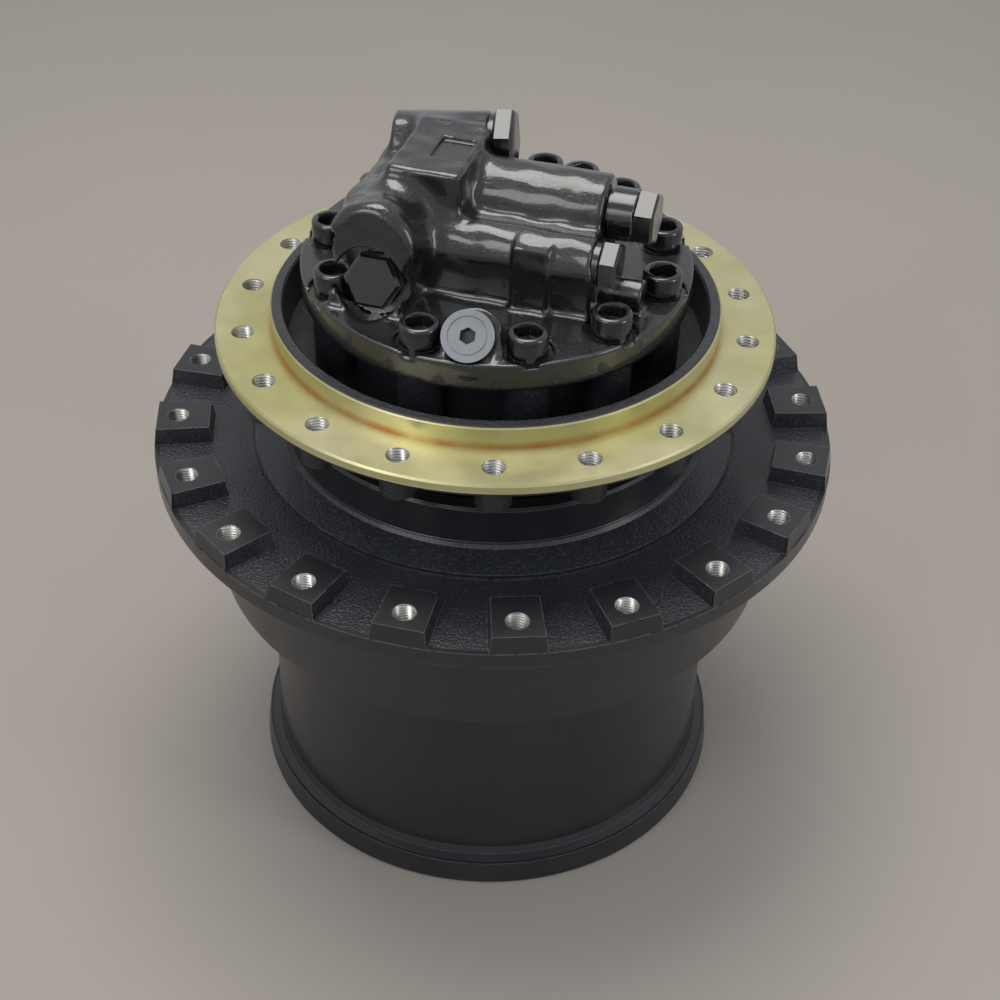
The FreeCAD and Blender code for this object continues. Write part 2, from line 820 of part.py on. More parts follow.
def pin_set(name, distance, low, high):
    body = new_body(f"{name}_body")
    sketch = new_sketch(body, "XY_Plane", "pins", low)
    circle(sketch, distance, 0, S.planet_pin_radius)
    polar(body, pad(body, sketch, high - low), sketch, Size.of(3))
    return keep(body, name)


def make_output_carrier():
    """Fixed carrier: two plates joined by three posts, held by the spindle's splines."""
    distance = centre_distance(S.output_sun_teeth, S.output_planet_teeth)
    low_plate = S.output_stage_floor - S.stage_gap - S.lower_plate_thickness
    high_plate = S.output_stage_floor + S.output_face_width + S.stage_gap
    top = high_plate + S.output_carrier_thickness
    sun_room = S.module_size * (S.output_sun_teeth / 2 + S.addendum_factor) + 3
    body = new_body("output_carrier_body")
    revolve(body, [
        (S.carrier_bore_radius, high_plate),
        (S.output_carrier_radius, high_plate),
        (S.output_carrier_radius, top),
        (S.carrier_spigot_radius, top),
        (S.carrier_spigot_radius, S.spindle_bottom + S.carrier_seat_depth - S.face_gap),
        (S.carrier_bore_radius, S.spindle_bottom + S.carrier_seat_depth - S.face_gap),
    ])
    posts = new_sketch(body, "XY_Plane", "posts", high_plate + 1)
    posts.AttachmentOffset = Placement(Vector(), Rotation(Vector(0, 0, 1), 60))
    bind(posts, "AttachmentOffset.Base.z", high_plate + 1)
    outline(posts, box_points(distance - 22, distance + 26, Size.of(-19), Size.of(19)))
    polar(body, pad(body, posts, high_plate - low_plate, down=True), posts, Size.of(3))
    plate = new_sketch(body, "XY_Plane", "lower_plate", low_plate)
    circle(plate, 0, 0, S.output_carrier_radius)
    circle(plate, 0, 0, sun_room)
    pad(body, plate, S.lower_plate_thickness)
    hole_ring(body, "pin_holes", top - 6, top - low_plate,
              S.planet_pin_radius + S.seat_gap, distance, Size.of(3))
    keep(body, "output_carrier")
    pin_set("output_planet_pins", distance, low_plate, top - 6.3)
    return body


def make_input_carrier():
    """Carrier of the first stage: one plate with overhung pins under it."""
    distance = centre_distance(S.input_sun_teeth, S.input_planet_teeth)
    low = S.input_stage_floor + S.input_face_width + S.stage_gap
    high = low + S.input_carrier_thickness
    body = new_body("input_carrier_body")
    revolve(body, box_points(S.sun_bore_radius, S.input_carrier_radius, low, high))
    hole_ring(body, "pin_holes", high + 1, S.input_carrier_thickness + 2,
              S.planet_pin_radius + S.seat_gap, distance, Size.of(3))
    keep(body, "input_carrier")
    pin_set("input_planet_pins", distance, S.input_stage_floor - 2, high)
    return high


def make_suns(input_carrier_top):
    """Second-stage sun on the input carrier, and the input sun with its long shaft."""
    teeth = int(float(S.output_sun_teeth))
    length = S.output_stage_floor + S.output_face_width - input_carrier_top
    sun = shaped("output_sun_gear", external_gear(teeth, length, S.sun_bore_radius, 0.0))
    sun.Placement = Placement(Vector(0, 0, float(input_carrier_top)), Rotation())
    keep(sun, "output_sun")

    teeth = int(float(S.input_sun_teeth))
    first = math.pi / teeth
    low = S.input_stage_floor - 2
    gear = shaped("input_sun_teeth_prism", external_gear(teeth, S.input_face_width + 2, None, first))
    gear.Placement = Placement(Vector(0, 0, float(low)), Rotation())
    shaft = cylinder("input_sun_shaft", S.input_shaft_radius, S.shaft_bottom - S.face_gap - low,
                     (0, 0, low))
    return keep(fuse("input_sun_joined", [gear, shaft]), "input_sun")


# ---------------------------------------------------------------- motor rotating group

def make_shaft_group():
    bore = S.shaft_radius + S.seat_gap
    turned_ring("motor_shaft", [
        (0, S.shaft_bottom), (S.shaft_radius, S.shaft_bottom),
        (S.shaft_radius, S.shaft_top), (0, S.shaft_top)])
    turned_ring("coupling_sleeve", [
        (S.input_shaft_radius + S.seat_gap, S.coupling_bottom),
        (S.coupling_radius, S.coupling_bottom),
        (S.coupling_radius, S.spindle_bottom + S.carrier_seat_depth - 1),
        (bore, S.spindle_bottom + S.carrier_seat_depth - 1),
        (bore, S.shaft_bottom),
        (S.input_shaft_radius + S.seat_gap, S.shaft_bottom)])
    case_floor = S.spindle_bottom + S.carrier_seat_depth
    turned_ring("shaft_bearing", box_points(
        S.shaft_radius + S.running_gap, S.shaft_bearing_radius,
        case_floor, case_floor + S.case_floor_thickness))

    block_body = new_body("cylinder_block_body")
    revolve(block_body, box_points(bore, S.block_radius, S.block_bottom, S.block_top))
    hole_ring(block_body, "bores", S.block_top + 1, S.block_top - S.block_bottom + 2,
              S.piston_radius + S.seat_gap, S.piston_circle, S.piston_count)
    keep(block_body, "cylinder_block")

    pistons = new_body("pistons_body")
    sketch = new_sketch(pistons, "XY_Plane", "rods", S.piston_bottom)
    circle(sketch, S.piston_circle, 0, S.piston_radius)
    circle(sketch, S.piston_circle, 0, S.piston_radius - S.piston_wall)
    rods = pad(pistons, sketch, S.piston_top - S.piston_bottom)
    polar(pistons, rods, sketch, S.piston_count)
    crown = new_sketch(pistons, "XY_Plane", "crowns", S.piston_top - 20)
    circle(crown, S.piston_circle, 0, S.piston_radius)
    polar(pistons, pad(pistons, crown, Size.of(20)), crown, S.piston_count)
    keep(pistons, "pistons")


def swash_frame():
    """Placement whose Z axis is the normal of the swash plate, at the centre of the balls."""
    tilt = Rotation(Vector(1, 0, 0), float(S.swash_angle))
    return Placement(Vector(0, 0, float(S.ball_centre_height)), tilt)


def make_swash_group():
    """Fixed swash plate, and the slippers with their retainer that turn on its tilted face."""
    frame = swash_frame()
    count = int(float(S.piston_count))
    floor = float(S.spindle_bottom + S.carrier_seat_depth + S.case_floor_thickness)
    drop = float(S.slipper_drop)
    face = -drop - float(S.face_gap)
    column = Part.makeCylinder(float(S.swash_radius), 200.0, Vector(0, 0, floor))
    above = Part.makeBox(400.0, 400.0, 300.0, Vector(-200.0, -200.0, face))
    above.Placement = frame
    plate = column.cut(above).cut(
        Part.makeCylinder(float(S.swash_bore_radius), 200.0, Vector(0, 0, floor)))
    keep(shaped("swash_plate_wedge", plate), "swash_plate")

    slippers = []
    for i in range(count):
        angle = 2 * math.pi * i / count
        at = Vector(float(S.piston_circle) * math.cos(angle),
                    float(S.piston_circle) * math.sin(angle), 0)
        shoe = Part.makeCylinder(float(S.slipper_radius), float(S.slipper_thickness),
                                 at + Vector(0, 0, -drop))
        stem = Part.makeCylinder(float(S.stem_radius), drop, at + Vector(0, 0, -drop))
        ball = Part.makeCylinder(float(S.ball_radius), float(S.ball_radius),
                                 at - Vector(0, 0, float(S.ball_radius) / 2))
        slipper = shoe.fuse([stem, ball]).removeSplitter()
        slipper.Placement = frame
        slippers.append(slipper)
    keep(shaped("slippers_set", Part.makeCompound(slippers)), "slippers")

    low = -drop + float(S.slipper_thickness)
    ring = Part.makeCylinder(float(S.piston_circle) + 13.0, float(S.retainer_thickness),
                             Vector(0, 0, low))
    ring = ring.cut(Part.makeCylinder(float(S.piston_circle) - 14.0, 20.0, Vector(0, 0, low - 5)))
    for i in range(count):
        angle = 2 * math.pi * i / count
        at = Vector(float(S.piston_circle) * math.cos(angle),
                    float(S.piston_circle) * math.sin(angle), low - 5)
        hole = Part.makeCylinder(float(S.stem_radius + S.seat_gap), 20.0, at)
        ring = ring.cut(hole)
    ring.Placement = frame
    keep(shaped("retainer_ring", ring), "retainer_plate")


def make_brake():
    pitch = S.brake_plate_thickness + S.brake_disc_thickness + S.face_gap * 2
    discs = new_body("brake_discs_body")
    plates = new_body("brake_plates_body")
    count = int(float(S.brake_disc_count))
    inner = S.block_radius + S.seat_gap
    for i in range(count + 1):
        low = S.brake_ledge + pitch * i
        sketch = new_sketch(plates, "XY_Plane", f"plate_{i}", low)
        circle(sketch, 0, 0, S.brake_bore_radius - S.seat_gap)
        circle(sketch, 0, 0, S.block_radius + 4)
        pad(plates, sketch, S.brake_plate_thickness)
    for i in range(count):
        low = S.brake_ledge + pitch * i + S.brake_plate_thickness + S.face_gap
        sketch = new_sketch(discs, "XY_Plane", f"disc_{i}", low)
        circle(sketch, 0, 0, S.brake_disc_radius)
        circle(sketch, 0, 0, inner)
        pad(discs, sketch, S.brake_disc_thickness)
    keep(plates, "brake_plates")
    keep(discs, "brake_discs")
    low = S.brake_ledge + pitch * count + S.brake_plate_thickness
    turned_ring("brake_piston", box_points(
        S.brake_piston_inner, S.brake_bore_radius - S.seat_gap, low, low + S.brake_piston_height))


# ---------------------------------------------------------------- valve head

ALONG = Rotation(Vector(0, 1, 0), 90)


def toward_front(tilt):
    """Rotation that turns +Z to the head's front, raised by tilt degrees."""
    return Rotation(Vector(1, 0, 0), 90 - tilt)


def in_head(item):
    """Turn a finished piece of the valve head about the output axis."""
    item.Placement = Placement(Vector(), Rotation(Vector(0, 0, 1), float(S.head_angle)))
    bind(item, "Placement.Rotation.Angle", S.head_angle)
    return item


def port_point(distance):
    """Point on the front port's axis, a distance out from the port's seat."""
    lift = math.radians(float(S.port_tilt))
    return (S.port_along, S.port_front - math.cos(lift) * distance,
            S.port_height + math.sin(lift) * distance)


def pointing(turn, lift):
    """Rotation that turns +Z to a heading about the output axis and a lift above level."""
    return Rotation(Vector(0, 0, 1), turn).multiply(Rotation(Vector(0, 1, 0), 90 - lift))


def along_axis(point, turn, lift, distance):
    """Sizes of a point moved a distance along the heading."""
    flat = math.cos(math.radians(lift)) * distance
    return (point[0] + flat * math.cos(math.radians(turn)),
            point[1] + flat * math.sin(math.radians(turn)),
            point[2] + math.sin(math.radians(lift)) * distance)


def cross_point(distance):
    """Point on the cross drilling's axis, a distance out from its right-hand seat."""
    start = (S.cross_along, S.cross_across, S.cross_height)
    return along_axis(start, float(S.cross_turn), float(S.cross_lift), distance)


def disc_point(distance):
    """Point on the test plug's axis, a distance out from the face of its boss."""
    start = (S.disc_along, S.disc_across, S.disc_height)
    return along_axis(start, float(S.disc_turn), float(S.disc_lift), distance)


def make_valve_head():
    seat = S.head_seat
    top = seat + S.head_flange_thickness
    left, right = S.spool_block_left, S.spool_block_right
    front_wall = S.front_bore_across - S.front_barrel_radius
    port_turn = toward_front(float(S.port_tilt))
    cross_turn = pointing(float(S.cross_turn), float(S.cross_lift))
    disc_turn = pointing(float(S.disc_turn), float(S.disc_lift))
    solids = [
        cylinder("cross_barrel", S.cross_barrel_radius, S.cross_barrel_length,
                 cross_point(-S.cross_barrel_length), cross_turn),
        cylinder("disc_boss", S.disc_boss_radius, Size.of(34), disc_point(Size.of(-34)), disc_turn),
        cylinder("head_flange", S.head_flange_radius, S.head_flange_thickness, (0, 0, seat)),
        cylinder("head_spigot", S.head_spigot_radius, seat - S.head_spigot_bottom + 1,
                 (0, 0, S.head_spigot_bottom)),
        block("head_core", (S.tower_left, front_wall + 3, top - 1),
              (right, S.rear_bore_across + S.rear_barrel_radius, S.front_bore_height - 4)),
        block("front_wall", (left, front_wall, top - 1),
              (right, S.front_bore_across, S.front_bore_height)),
        cylinder("front_barrel", S.front_barrel_radius, right - left,
                 (left, S.front_bore_across, S.front_bore_height), ALONG),
        cylinder("rear_barrel", S.rear_barrel_radius, right - S.tower_right + 10,
                 (S.tower_right - 10, S.rear_bore_across, S.rear_bore_height), ALONG),
        block("bore_web", (left, S.front_bore_across, top - 1),
              (right - 4, S.rear_bore_across, S.rear_bore_height - 4)),
        block("tower", (S.tower_left, S.tower_front, top - 1),
              (S.tower_right, S.tower_rear, S.tower_top)),
        block("arch", (S.arch_left, S.arch_front, top - 1),
              (S.arch_right, S.front_bore_across, S.arch_top)),
        cylinder("port_barrel", S.port_barrel_radius, Size.of(96), port_point(Size.of(-92)),
                 port_turn),
        block("port_foot", (S.port_along - 34, S.port_front - 24, top - 1),
              (S.port_along + 26, S.tower_rear, S.port_height)),
    ]
    solid = fuse("valve_head_casting", solids)
    recess_margin = 26
    under = cut("under_flange", cylinder("under_flange_disc", S.head_flange_radius + 9, Size.of(60),
                                         (0, 0, seat - 60)),
                [cylinder("under_flange_core", S.head_spigot_radius, Size.of(80),
                          (0, 0, seat - 70))])
    tools = [
        under,
        block("tower_recess",
              (S.tower_left + recess_margin, S.tower_front + 24,
               S.tower_top - S.tower_recess_depth),
              (S.tower_right - 5, S.tower_rear - 24, S.tower_top + 1)),
        cylinder("rear_bore", S.rear_spool_radius + S.running_gap, right - S.tower_right + 20,
                 (S.tower_right - 10, S.rear_bore_across, S.rear_bore_height), ALONG),
        cylinder("front_bore", S.front_spool_radius + S.running_gap, right - left,
                 (left + 10, S.front_bore_across, S.front_bore_height), ALONG),
        cylinder("port_bore", S.port_plug_radius + S.seat_gap, Size.of(34),
                 port_point(Size.of(-30)), port_turn),
        cylinder("port_spotface", S.port_barrel_radius - 6, Size.of(30), port_point(Size.of(0)),
                 port_turn),
        cylinder("cross_bore", S.cross_plug_radius + S.seat_gap, Size.of(30),
                 cross_point(Size.of(-29)), cross_turn),
        cylinder("cross_spotface", S.cross_hex_radius + 1, Size.of(40), cross_point(Size.of(0)),
                 cross_turn),
        cylinder("disc_bore", S.disc_thread_radius + S.seat_gap, Size.of(20),
                 disc_point(Size.of(-19)), disc_turn),
        cylinder("disc_spotface", S.disc_radius + S.face_gap, Size.of(30), disc_point(Size.of(0)),
                 disc_turn),
        cylinder("shaft_bore", S.shaft_radius + S.running_gap,
                 S.shaft_top - S.head_spigot_bottom + 2, (0, 0, S.head_spigot_bottom - 1)),
    ]
    for i, angle in enumerate(HEAD_SCREW_ANGLES):
        turn = math.radians(angle)
        x, y = S.head_screw_circle * math.cos(turn), S.head_screw_circle * math.sin(turn)
        tools.append(cylinder(f"head_hole_{i}", S.head_screw_radius + S.face_gap,
                              S.head_flange_thickness + 2, (x, y, seat - 1)))
        tools.append(cylinder(f"head_spotface_{i}", S.spotface_radius, Size.of(60),
                              (x, y, top - S.spotface_depth)))
    return keep(in_head(cut("valve_head_machined", solid, tools)), "valve_head")


def make_head_screws():
    """Socket-head screws round the valve head's flange."""
    screws = []
    seat = float(S.head_seat + S.head_flange_thickness - S.spotface_depth)
    head_height = float(S.head_screw_head_height)
    for angle in HEAD_SCREW_ANGLES:
        head = Part.makeCylinder(float(S.head_screw_head_radius), head_height, Vector(0, 0, seat))
        shank = Part.makeCylinder(float(S.head_screw_radius), float(S.head_screw_length),
                                  Vector(0, 0, seat - float(S.head_screw_length)))
        corners = [Vector(float(S.head_screw_key) * math.cos(math.radians(60 * k)),
                          float(S.head_screw_key) * math.sin(math.radians(60 * k)),
                          seat + head_height / 2) for k in range(7)]
        key = Part.Face(Part.makePolygon(corners)).extrude(Vector(0, 0, head_height))
        screw = head.fuse(shank).cut(key)
        screw.translate(Vector(float(S.head_screw_circle), 0, 0))
        screw.rotate(Vector(), Vector(0, 0, 1), angle + float(S.head_angle))
        screws.append(screw)
    return keep(shaped("valve_head_screw_set", Part.makeCompound(screws)), "valve_head_screws")


def make_spool(name, radius, across, height, left, right):
    """Valve spool with three lands, free to slide in its bore."""
    lands = (0.0, 0.36, 0.76)
    length = right - left
    items = [cylinder(f"{name}_stem", radius * 0.6, length, (left, across, height), ALONG)]
    for i, start in enumerate(lands):
        items.append(cylinder(f"{name}_land_{i}", radius, length * 0.24,
                              (left + length * start, across, height), ALONG))
    return keep(in_head(fuse(f"{name}_joined", items)), name)


def make_bore_cap(name, bore, across, height, seat, collar_radius, collar, hex_radius, hex_height):
    """Hexagon cap screwed into the end of a spool bore."""
    items = [
        cylinder(f"{name}_thread", bore, collar + 8, (seat - 8, across, height), ALONG),
        cylinder(f"{name}_collar", collar_radius, collar, (seat, across, height), ALONG),
        hexagon(f"{name}_hexagon", hex_radius, hex_height, (seat + collar, across, height), ALONG),
    ]
    return keep(in_head(fuse(f"{name}_joined", items)), name)


def make_port_plug():
    turn = toward_front(float(S.port_tilt))
    items = [
        cylinder("port_plug_thread", S.port_plug_radius, Size.of(24), port_point(Size.of(-24)),
                 turn),
        cylinder("port_plug_washer", S.port_hex_radius - 2, Size.of(4), port_point(Size.of(0)),
                 turn),
        hexagon("port_plug_hexagon", S.port_hex_radius, S.port_hex_height,
                port_point(Size.of(4)), turn.multiply(Rotation(Vector(0, 0, 1), 30))),
    ]
    return keep(in_head(fuse("port_plug_joined", items)), "front_port_plug")


def make_cross_plug():
    """Hexagon plug in the right-hand end of the cross drilling."""
    turn = pointing(float(S.cross_turn), float(S.cross_lift))
    items = [
        cylinder("cross_plug_thread", S.cross_plug_radius, Size.of(24),
                 cross_point(Size.of(-24)), turn),
        cylinder("cross_plug_washer", S.cross_barrel_radius - 1, Size.of(5),
                 cross_point(Size.of(0)), turn),
        hexagon("cross_plug_hexagon", S.cross_hex_radius, Size.of(14), cross_point(Size.of(5)),
                turn),
    ]
    return keep(in_head(fuse("cross_plug_joined", items)), "rear_port_plug")


def make_disc_plug():
    """Flat test plug of bare steel with a ring groove and a hexagon key."""
    turn = pointing(float(S.disc_turn), float(S.disc_lift))
    items = [
        cylinder("disc_plug_thread", S.disc_thread_radius, Size.of(16), disc_point(Size.of(-16)),
                 turn),
        cylinder("disc_plug_flange", S.disc_radius, Size.of(6), disc_point(Size.of(0)), turn),
    ]
    solid = fuse("disc_plug_blank", items)
    key = hexagon("disc_plug_key", S.disc_key_radius, Size.of(10), disc_point(Size.of(-3)), turn)
    outer = cylinder("disc_groove_outer", S.disc_radius - 4.6, Size.of(2),
                     disc_point(Size.of(5.2)), turn)
    inner = cylinder("disc_groove_inner", S.disc_radius - 5.8, Size.of(4),
                     disc_point(Size.of(4.2)), turn)
    groove = cut("disc_groove", outer, [inner])
    return keep(in_head(cut("disc_plug_cut", solid, [key, groove])), "disc_plug")


def make_valve_group():
    make_valve_head()
    make_head_screws()
    make_port_plug()
    make_cross_plug()
    make_disc_plug()
    right = S.spool_block_right
    make_spool("counterbalance_spool", S.rear_spool_radius, S.rear_bore_across,
               S.rear_bore_height, S.tower_right, right - 16)
    make_spool("shift_spool", S.front_spool_radius, S.front_bore_across, S.front_bore_height,
               S.spool_block_left + 18, right - 16)
    make_bore_cap("counterbalance_cap", S.rear_spool_radius, S.rear_bore_across,
                  S.rear_bore_height, right, Size.of(20), Size.of(19), Size.of(21.5),
                  Size.of(15))
    make_bore_cap("shift_cap", S.front_spool_radius, S.front_bore_across, S.front_bore_height,
                  right, Size.of(16), Size.of(6), Size.of(18.5), Size.of(13))
    low = S.head_spigot_bottom - S.valve_plate_thickness
    plate = new_body("valve_plate_body")
    revolve(plate, box_points(S.shaft_radius + 4, S.valve_plate_radius, low + S.face_gap,
                              S.head_spigot_bottom))
    keep(plate, "valve_plate")


# ---------------------------------------------------------------- build and export

def build_all():
    make_ring_gear()
    make_sprocket_hub()
    make_end_cover()
    make_hub_screws()
    make_cover_plugs()
    make_thrust_button()
    make_bearing("lower", S.lower_race_floor, -1)
    make_bearing("upper", S.upper_race_floor, 1)
    make_bearing_nut()
    make_seal_rings()
    make_motor_housing()
    make_planets("output", S.output_sun_teeth, S.output_planet_teeth, S.output_stage_floor,
                 S.output_face_width)
    make_output_carrier()
    make_planets("input", S.input_sun_teeth, S.input_planet_teeth, S.input_stage_floor,
                 S.input_face_width)
    make_suns(make_input_carrier())
    make_shaft_group()
    make_swash_group()
    make_brake()
    make_valve_group()
    DOC.recompute()


def check_document():
    for item in DOC.Objects:
        bad = [word for word in item.State if word in ("Invalid", "Error")]
        if bad:
            raise RuntimeError(f"{item.Name} is {bad}")
    for item in PARTS:
        if item.Shape.isNull() or not item.Shape.isValid():
            raise RuntimeError(f"{item.Label} has no valid shape")


def export_parts():
    os.makedirs("parts", exist_ok=True)
    for item in PARTS:
        item.Shape.exportStep(f"parts/{item.Label}.step")
        print(item.Label, len(item.Shape.Solids), round(item.Shape.Volume / 1000.0, 1))


build_all()
check_document()
export_parts()
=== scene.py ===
"""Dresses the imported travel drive: castings, screws, plugs, threads and finishes.

Everything is in metres in the row frame: +Z up along the output axis, floor at z = 0.
"""

import logging
import math
from dataclasses import dataclass, field
from enum import Enum

import bmesh
import bpy
import numpy as np
from mathutils import Matrix, Vector


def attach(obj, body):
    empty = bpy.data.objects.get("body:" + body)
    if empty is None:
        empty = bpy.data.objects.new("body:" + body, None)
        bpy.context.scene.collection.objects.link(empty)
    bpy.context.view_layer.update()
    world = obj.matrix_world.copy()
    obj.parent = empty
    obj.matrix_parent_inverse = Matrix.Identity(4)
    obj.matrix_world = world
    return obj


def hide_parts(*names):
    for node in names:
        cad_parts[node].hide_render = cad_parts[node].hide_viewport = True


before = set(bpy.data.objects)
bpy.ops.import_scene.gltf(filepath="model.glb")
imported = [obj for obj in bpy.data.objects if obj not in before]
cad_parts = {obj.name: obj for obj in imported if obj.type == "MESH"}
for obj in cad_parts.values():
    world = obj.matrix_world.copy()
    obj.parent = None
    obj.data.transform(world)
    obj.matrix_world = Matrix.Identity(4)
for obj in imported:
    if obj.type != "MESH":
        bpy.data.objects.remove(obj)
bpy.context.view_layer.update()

LOG = logging.getLogger("final_drive")
MM = 0.001
HEAD_TURN = math.radians(-16.0)
Point = tuple[float, float, float]


class Body(Enum):
    """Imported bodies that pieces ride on."""

    HOUSING = "housing"
    HUB = "hub"


# ------------------------------------------------------------------ shader groups

class GroupBuilder:
    """Builds one shader node group with named sockets."""

    def __init__(self, name: str) -> None:
        """Start an empty group with input and output nodes."""
        self.tree = bpy.data.node_groups.new(name, "ShaderNodeTree")
        self.source = self.tree.nodes.new("NodeGroupInput")
        self.sink = self.tree.nodes.new("NodeGroupOutput")

    def value_in(self, name: str, default: float) -> None:
        """Add a number input with a default."""
        socket = self.tree.interface.new_socket(name, in_out="INPUT", socket_type="NodeSocketFloat")
        socket.default_value = default

    def value_out(self, name: str) -> None:
        """Add a number output."""
        self.tree.interface.new_socket(name, in_out="OUTPUT", socket_type="NodeSocketFloat")

    def node(self, kind: str, links: dict | None = None, **settings: object) -> bpy.types.Node:
        """Add a node.

        Args:
            kind: Blender's node type.
            links: Input name or index to a value or to the socket that feeds it.
            settings: Properties of the node.

        Returns:
            The new node.
        """
        made = self.tree.nodes.new(kind)
        for key, value in settings.items():
            setattr(made, key, value)
        for key, value in (links or {}).items():
            if isinstance(value, bpy.types.NodeSocket):
                self.tree.links.new(value, made.inputs[key])
            else:
                made.inputs[key].default_value = value
        return made

    def math(self, operation: str, *values: object) -> bpy.types.NodeSocket:
        """Add a Math node and return its result."""
        links = dict(enumerate(values))
        return self.node("ShaderNodeMath", links, operation=operation).outputs[0]

    def range(self, value: object, low: object, high: object, smooth: bool = True) -> bpy.types.NodeSocket:
        """Map low..high onto 0..1, clamped."""
        style = "SMOOTHSTEP" if smooth else "LINEAR"
        made = self.node("ShaderNodeMapRange", {"Value": value, "From Min": low, "From Max": high},
                         interpolation_type=style)
        return made.outputs["Result"]

    def position(self) -> bpy.types.NodeSocket:
        """Object coordinates, which are row coordinates on every piece."""
        return self.node("ShaderNodeTexCoord").outputs["Object"]

    def send(self, name: str, socket: bpy.types.NodeSocket) -> None:
        """Connect a result to a group output."""
        self.tree.links.new(socket, self.sink.inputs[name])


def cast_grain_group() -> bpy.types.NodeTree:
    """Sand-cast surface: pebbles, fine grain and slow waves.

    Returns:
        A group with Size and Waves inputs, a Height output, and an output that marks the grain peaks for
        painted glints.
    """
    build = GroupBuilder("cast_grain")
    build.value_in("Size", 1.0)
    build.value_in("Waves", 0.3)
    build.value_out("Height")
    build.value_out("Painted_Glints")
    place = build.position()
    size = build.source.outputs["Size"]
    pebble_scale = build.math("DIVIDE", 0.62, build.math("MULTIPLY", size, MM))
    grain_scale = build.math("MULTIPLY", pebble_scale, 2.3)
    pebble = build.node("ShaderNodeTexNoise", {"Vector": place, "Scale": pebble_scale,
                                               "Detail": 2.0, "Roughness": 0.55})
    grain = build.node("ShaderNodeTexNoise", {"Vector": place, "Scale": grain_scale,
                                              "Detail": 1.0, "Roughness": 0.6})
    wave = build.node("ShaderNodeTexNoise", {"Vector": place, "Scale": 34.0, "Detail": 1.0})
    rough = build.math("ADD", build.math("MULTIPLY", pebble.outputs["Fac"], 0.7),
                       build.math("MULTIPLY", grain.outputs["Fac"], 0.3))
    slow = build.math("MULTIPLY", wave.outputs["Fac"], build.source.outputs["Waves"])
    build.send("Height", build.math("ADD", rough, slow))
    # Painted glints: the highest grain peaks, which the paints colour lighter to stand in for light
    # glinting off the grain.
    build.send("Painted_Glints", build.range(rough, 0.52, 0.66))
    return build.tree


def zone_group() -> bpy.types.NodeTree:
    """Mask of a ring-shaped zone about the output axis.

    Returns:
        A group with Inner, Outer, Low, High and Soft inputs and a Mask output.
    """
    build = GroupBuilder("ring_zone")
    for name, default in (("Inner", 0.0), ("Outer", 1.0), ("Low", -1.0), ("High", 1.0),
                          ("Soft", 0.0005)):
        build.value_in(name, default)
    build.value_out("Mask")
    parts = build.node("ShaderNodeSeparateXYZ", {0: build.position()})
    radius = build.math("SQRT", build.math("ADD", build.math("POWER", parts.outputs["X"], 2.0),
                                           build.math("POWER", parts.outputs["Y"], 2.0)))
    soft = build.source.outputs["Soft"]
    mask = None
    for value, low, high in ((radius, "Inner", "Outer"), (parts.outputs["Z"], "Low", "High")):
        low_edge = build.source.outputs[low]
        high_edge = build.source.outputs[high]
        rise = build.range(value, build.math("SUBTRACT", low_edge, soft),
                           build.math("ADD", low_edge, soft))
        fall = build.range(value, build.math("ADD", high_edge, soft),
                           build.math("SUBTRACT", high_edge, soft))
        both = build.math("MULTIPLY", rise, fall)
        mask = both if mask is None else build.math("MULTIPLY", mask, both)
    build.send("Mask", mask)
    return build.tree


def turned_lines_group() -> bpy.types.NodeTree:
    """Fine rings that a lathe or face mill leaves about the output axis.

    Returns:
        A group with a Pitch input in metres and a Height output.
    """
    build = GroupBuilder("turned_lines")
    build.value_in("Pitch", 0.0008)
    build.value_out("Height")
    parts = build.node("ShaderNodeSeparateXYZ", {0: build.position()})
    radius = build.math("SQRT", build.math("ADD", build.math("POWER", parts.outputs["X"], 2.0),
                                           build.math("POWER", parts.outputs["Y"], 2.0)))
    turns = build.math("DIVIDE", radius, build.source.outputs["Pitch"])
    line = build.math("SINE", build.math("MULTIPLY", turns, 2.0 * math.pi))
    stretch = build.node("ShaderNodeCombineXYZ", {0: build.math("MULTIPLY", turns, 0.6),
                                                  1: build.math("MULTIPLY", parts.outputs["Z"], 90.0)})
    noise = build.node("ShaderNodeTexNoise", {"Vector": stretch.outputs[0], "Scale": 1.0,
                                              "Detail": 3.0})
    build.send("Height", build.math("ADD", build.math("MULTIPLY", line, 0.2),
                                    noise.outputs["Fac"]))
    return build.tree


def edge_highlight_group() -> bpy.types.NodeTree:
    """Mask of sharp edges, for a painted highlight where light catches them.

    Returns:
        A group with Width and Break inputs and a Mask output.
    """
    build = GroupBuilder("painted_edge_highlight")
    build.value_in("Width", 0.0012)
    build.value_in("Break", 0.4)
    build.value_out("Mask")
    # Painted highlight: sharp edges found with the Bevel node, broken up by noise, stand in for light
    # caught by the edges.
    rounded = build.node("ShaderNodeBevel", {"Radius": build.source.outputs["Width"]}, samples=4)
    plain = build.node("ShaderNodeNewGeometry")
    match = build.node("ShaderNodeVectorMath", {0: rounded.outputs[0], 1: plain.outputs["Normal"]},
                       operation="DOT_PRODUCT")
    sharp = build.range(match.outputs["Value"], 0.985, 0.86)
    noise = build.node("ShaderNodeTexNoise", {"Vector": build.position(), "Scale": 140.0,
                                              "Detail": 3.0})
    broken = build.range(noise.outputs["Fac"], build.source.outputs["Break"],
                         build.math("ADD", build.source.outputs["Break"], 0.15))
    build.send("Mask", build.math("MULTIPLY", sharp, broken))
    return build.tree


def cloud_group() -> bpy.types.NodeTree:
    """Slow uneven patches, for film colour and roughness.

    Returns:
        A group with a Scale input and a Value output.
    """
    build = GroupBuilder("cloud")
    build.value_in("Scale", 12.0)
    build.value_out("Value")
    noise = build.node("ShaderNodeTexNoise", {"Vector": build.position(),
                                              "Scale": build.source.outputs["Scale"],
                                              "Detail": 4.0, "Roughness": 0.55})
    build.send("Value", build.range(noise.outputs["Fac"], 0.32, 0.7))
    return build.tree


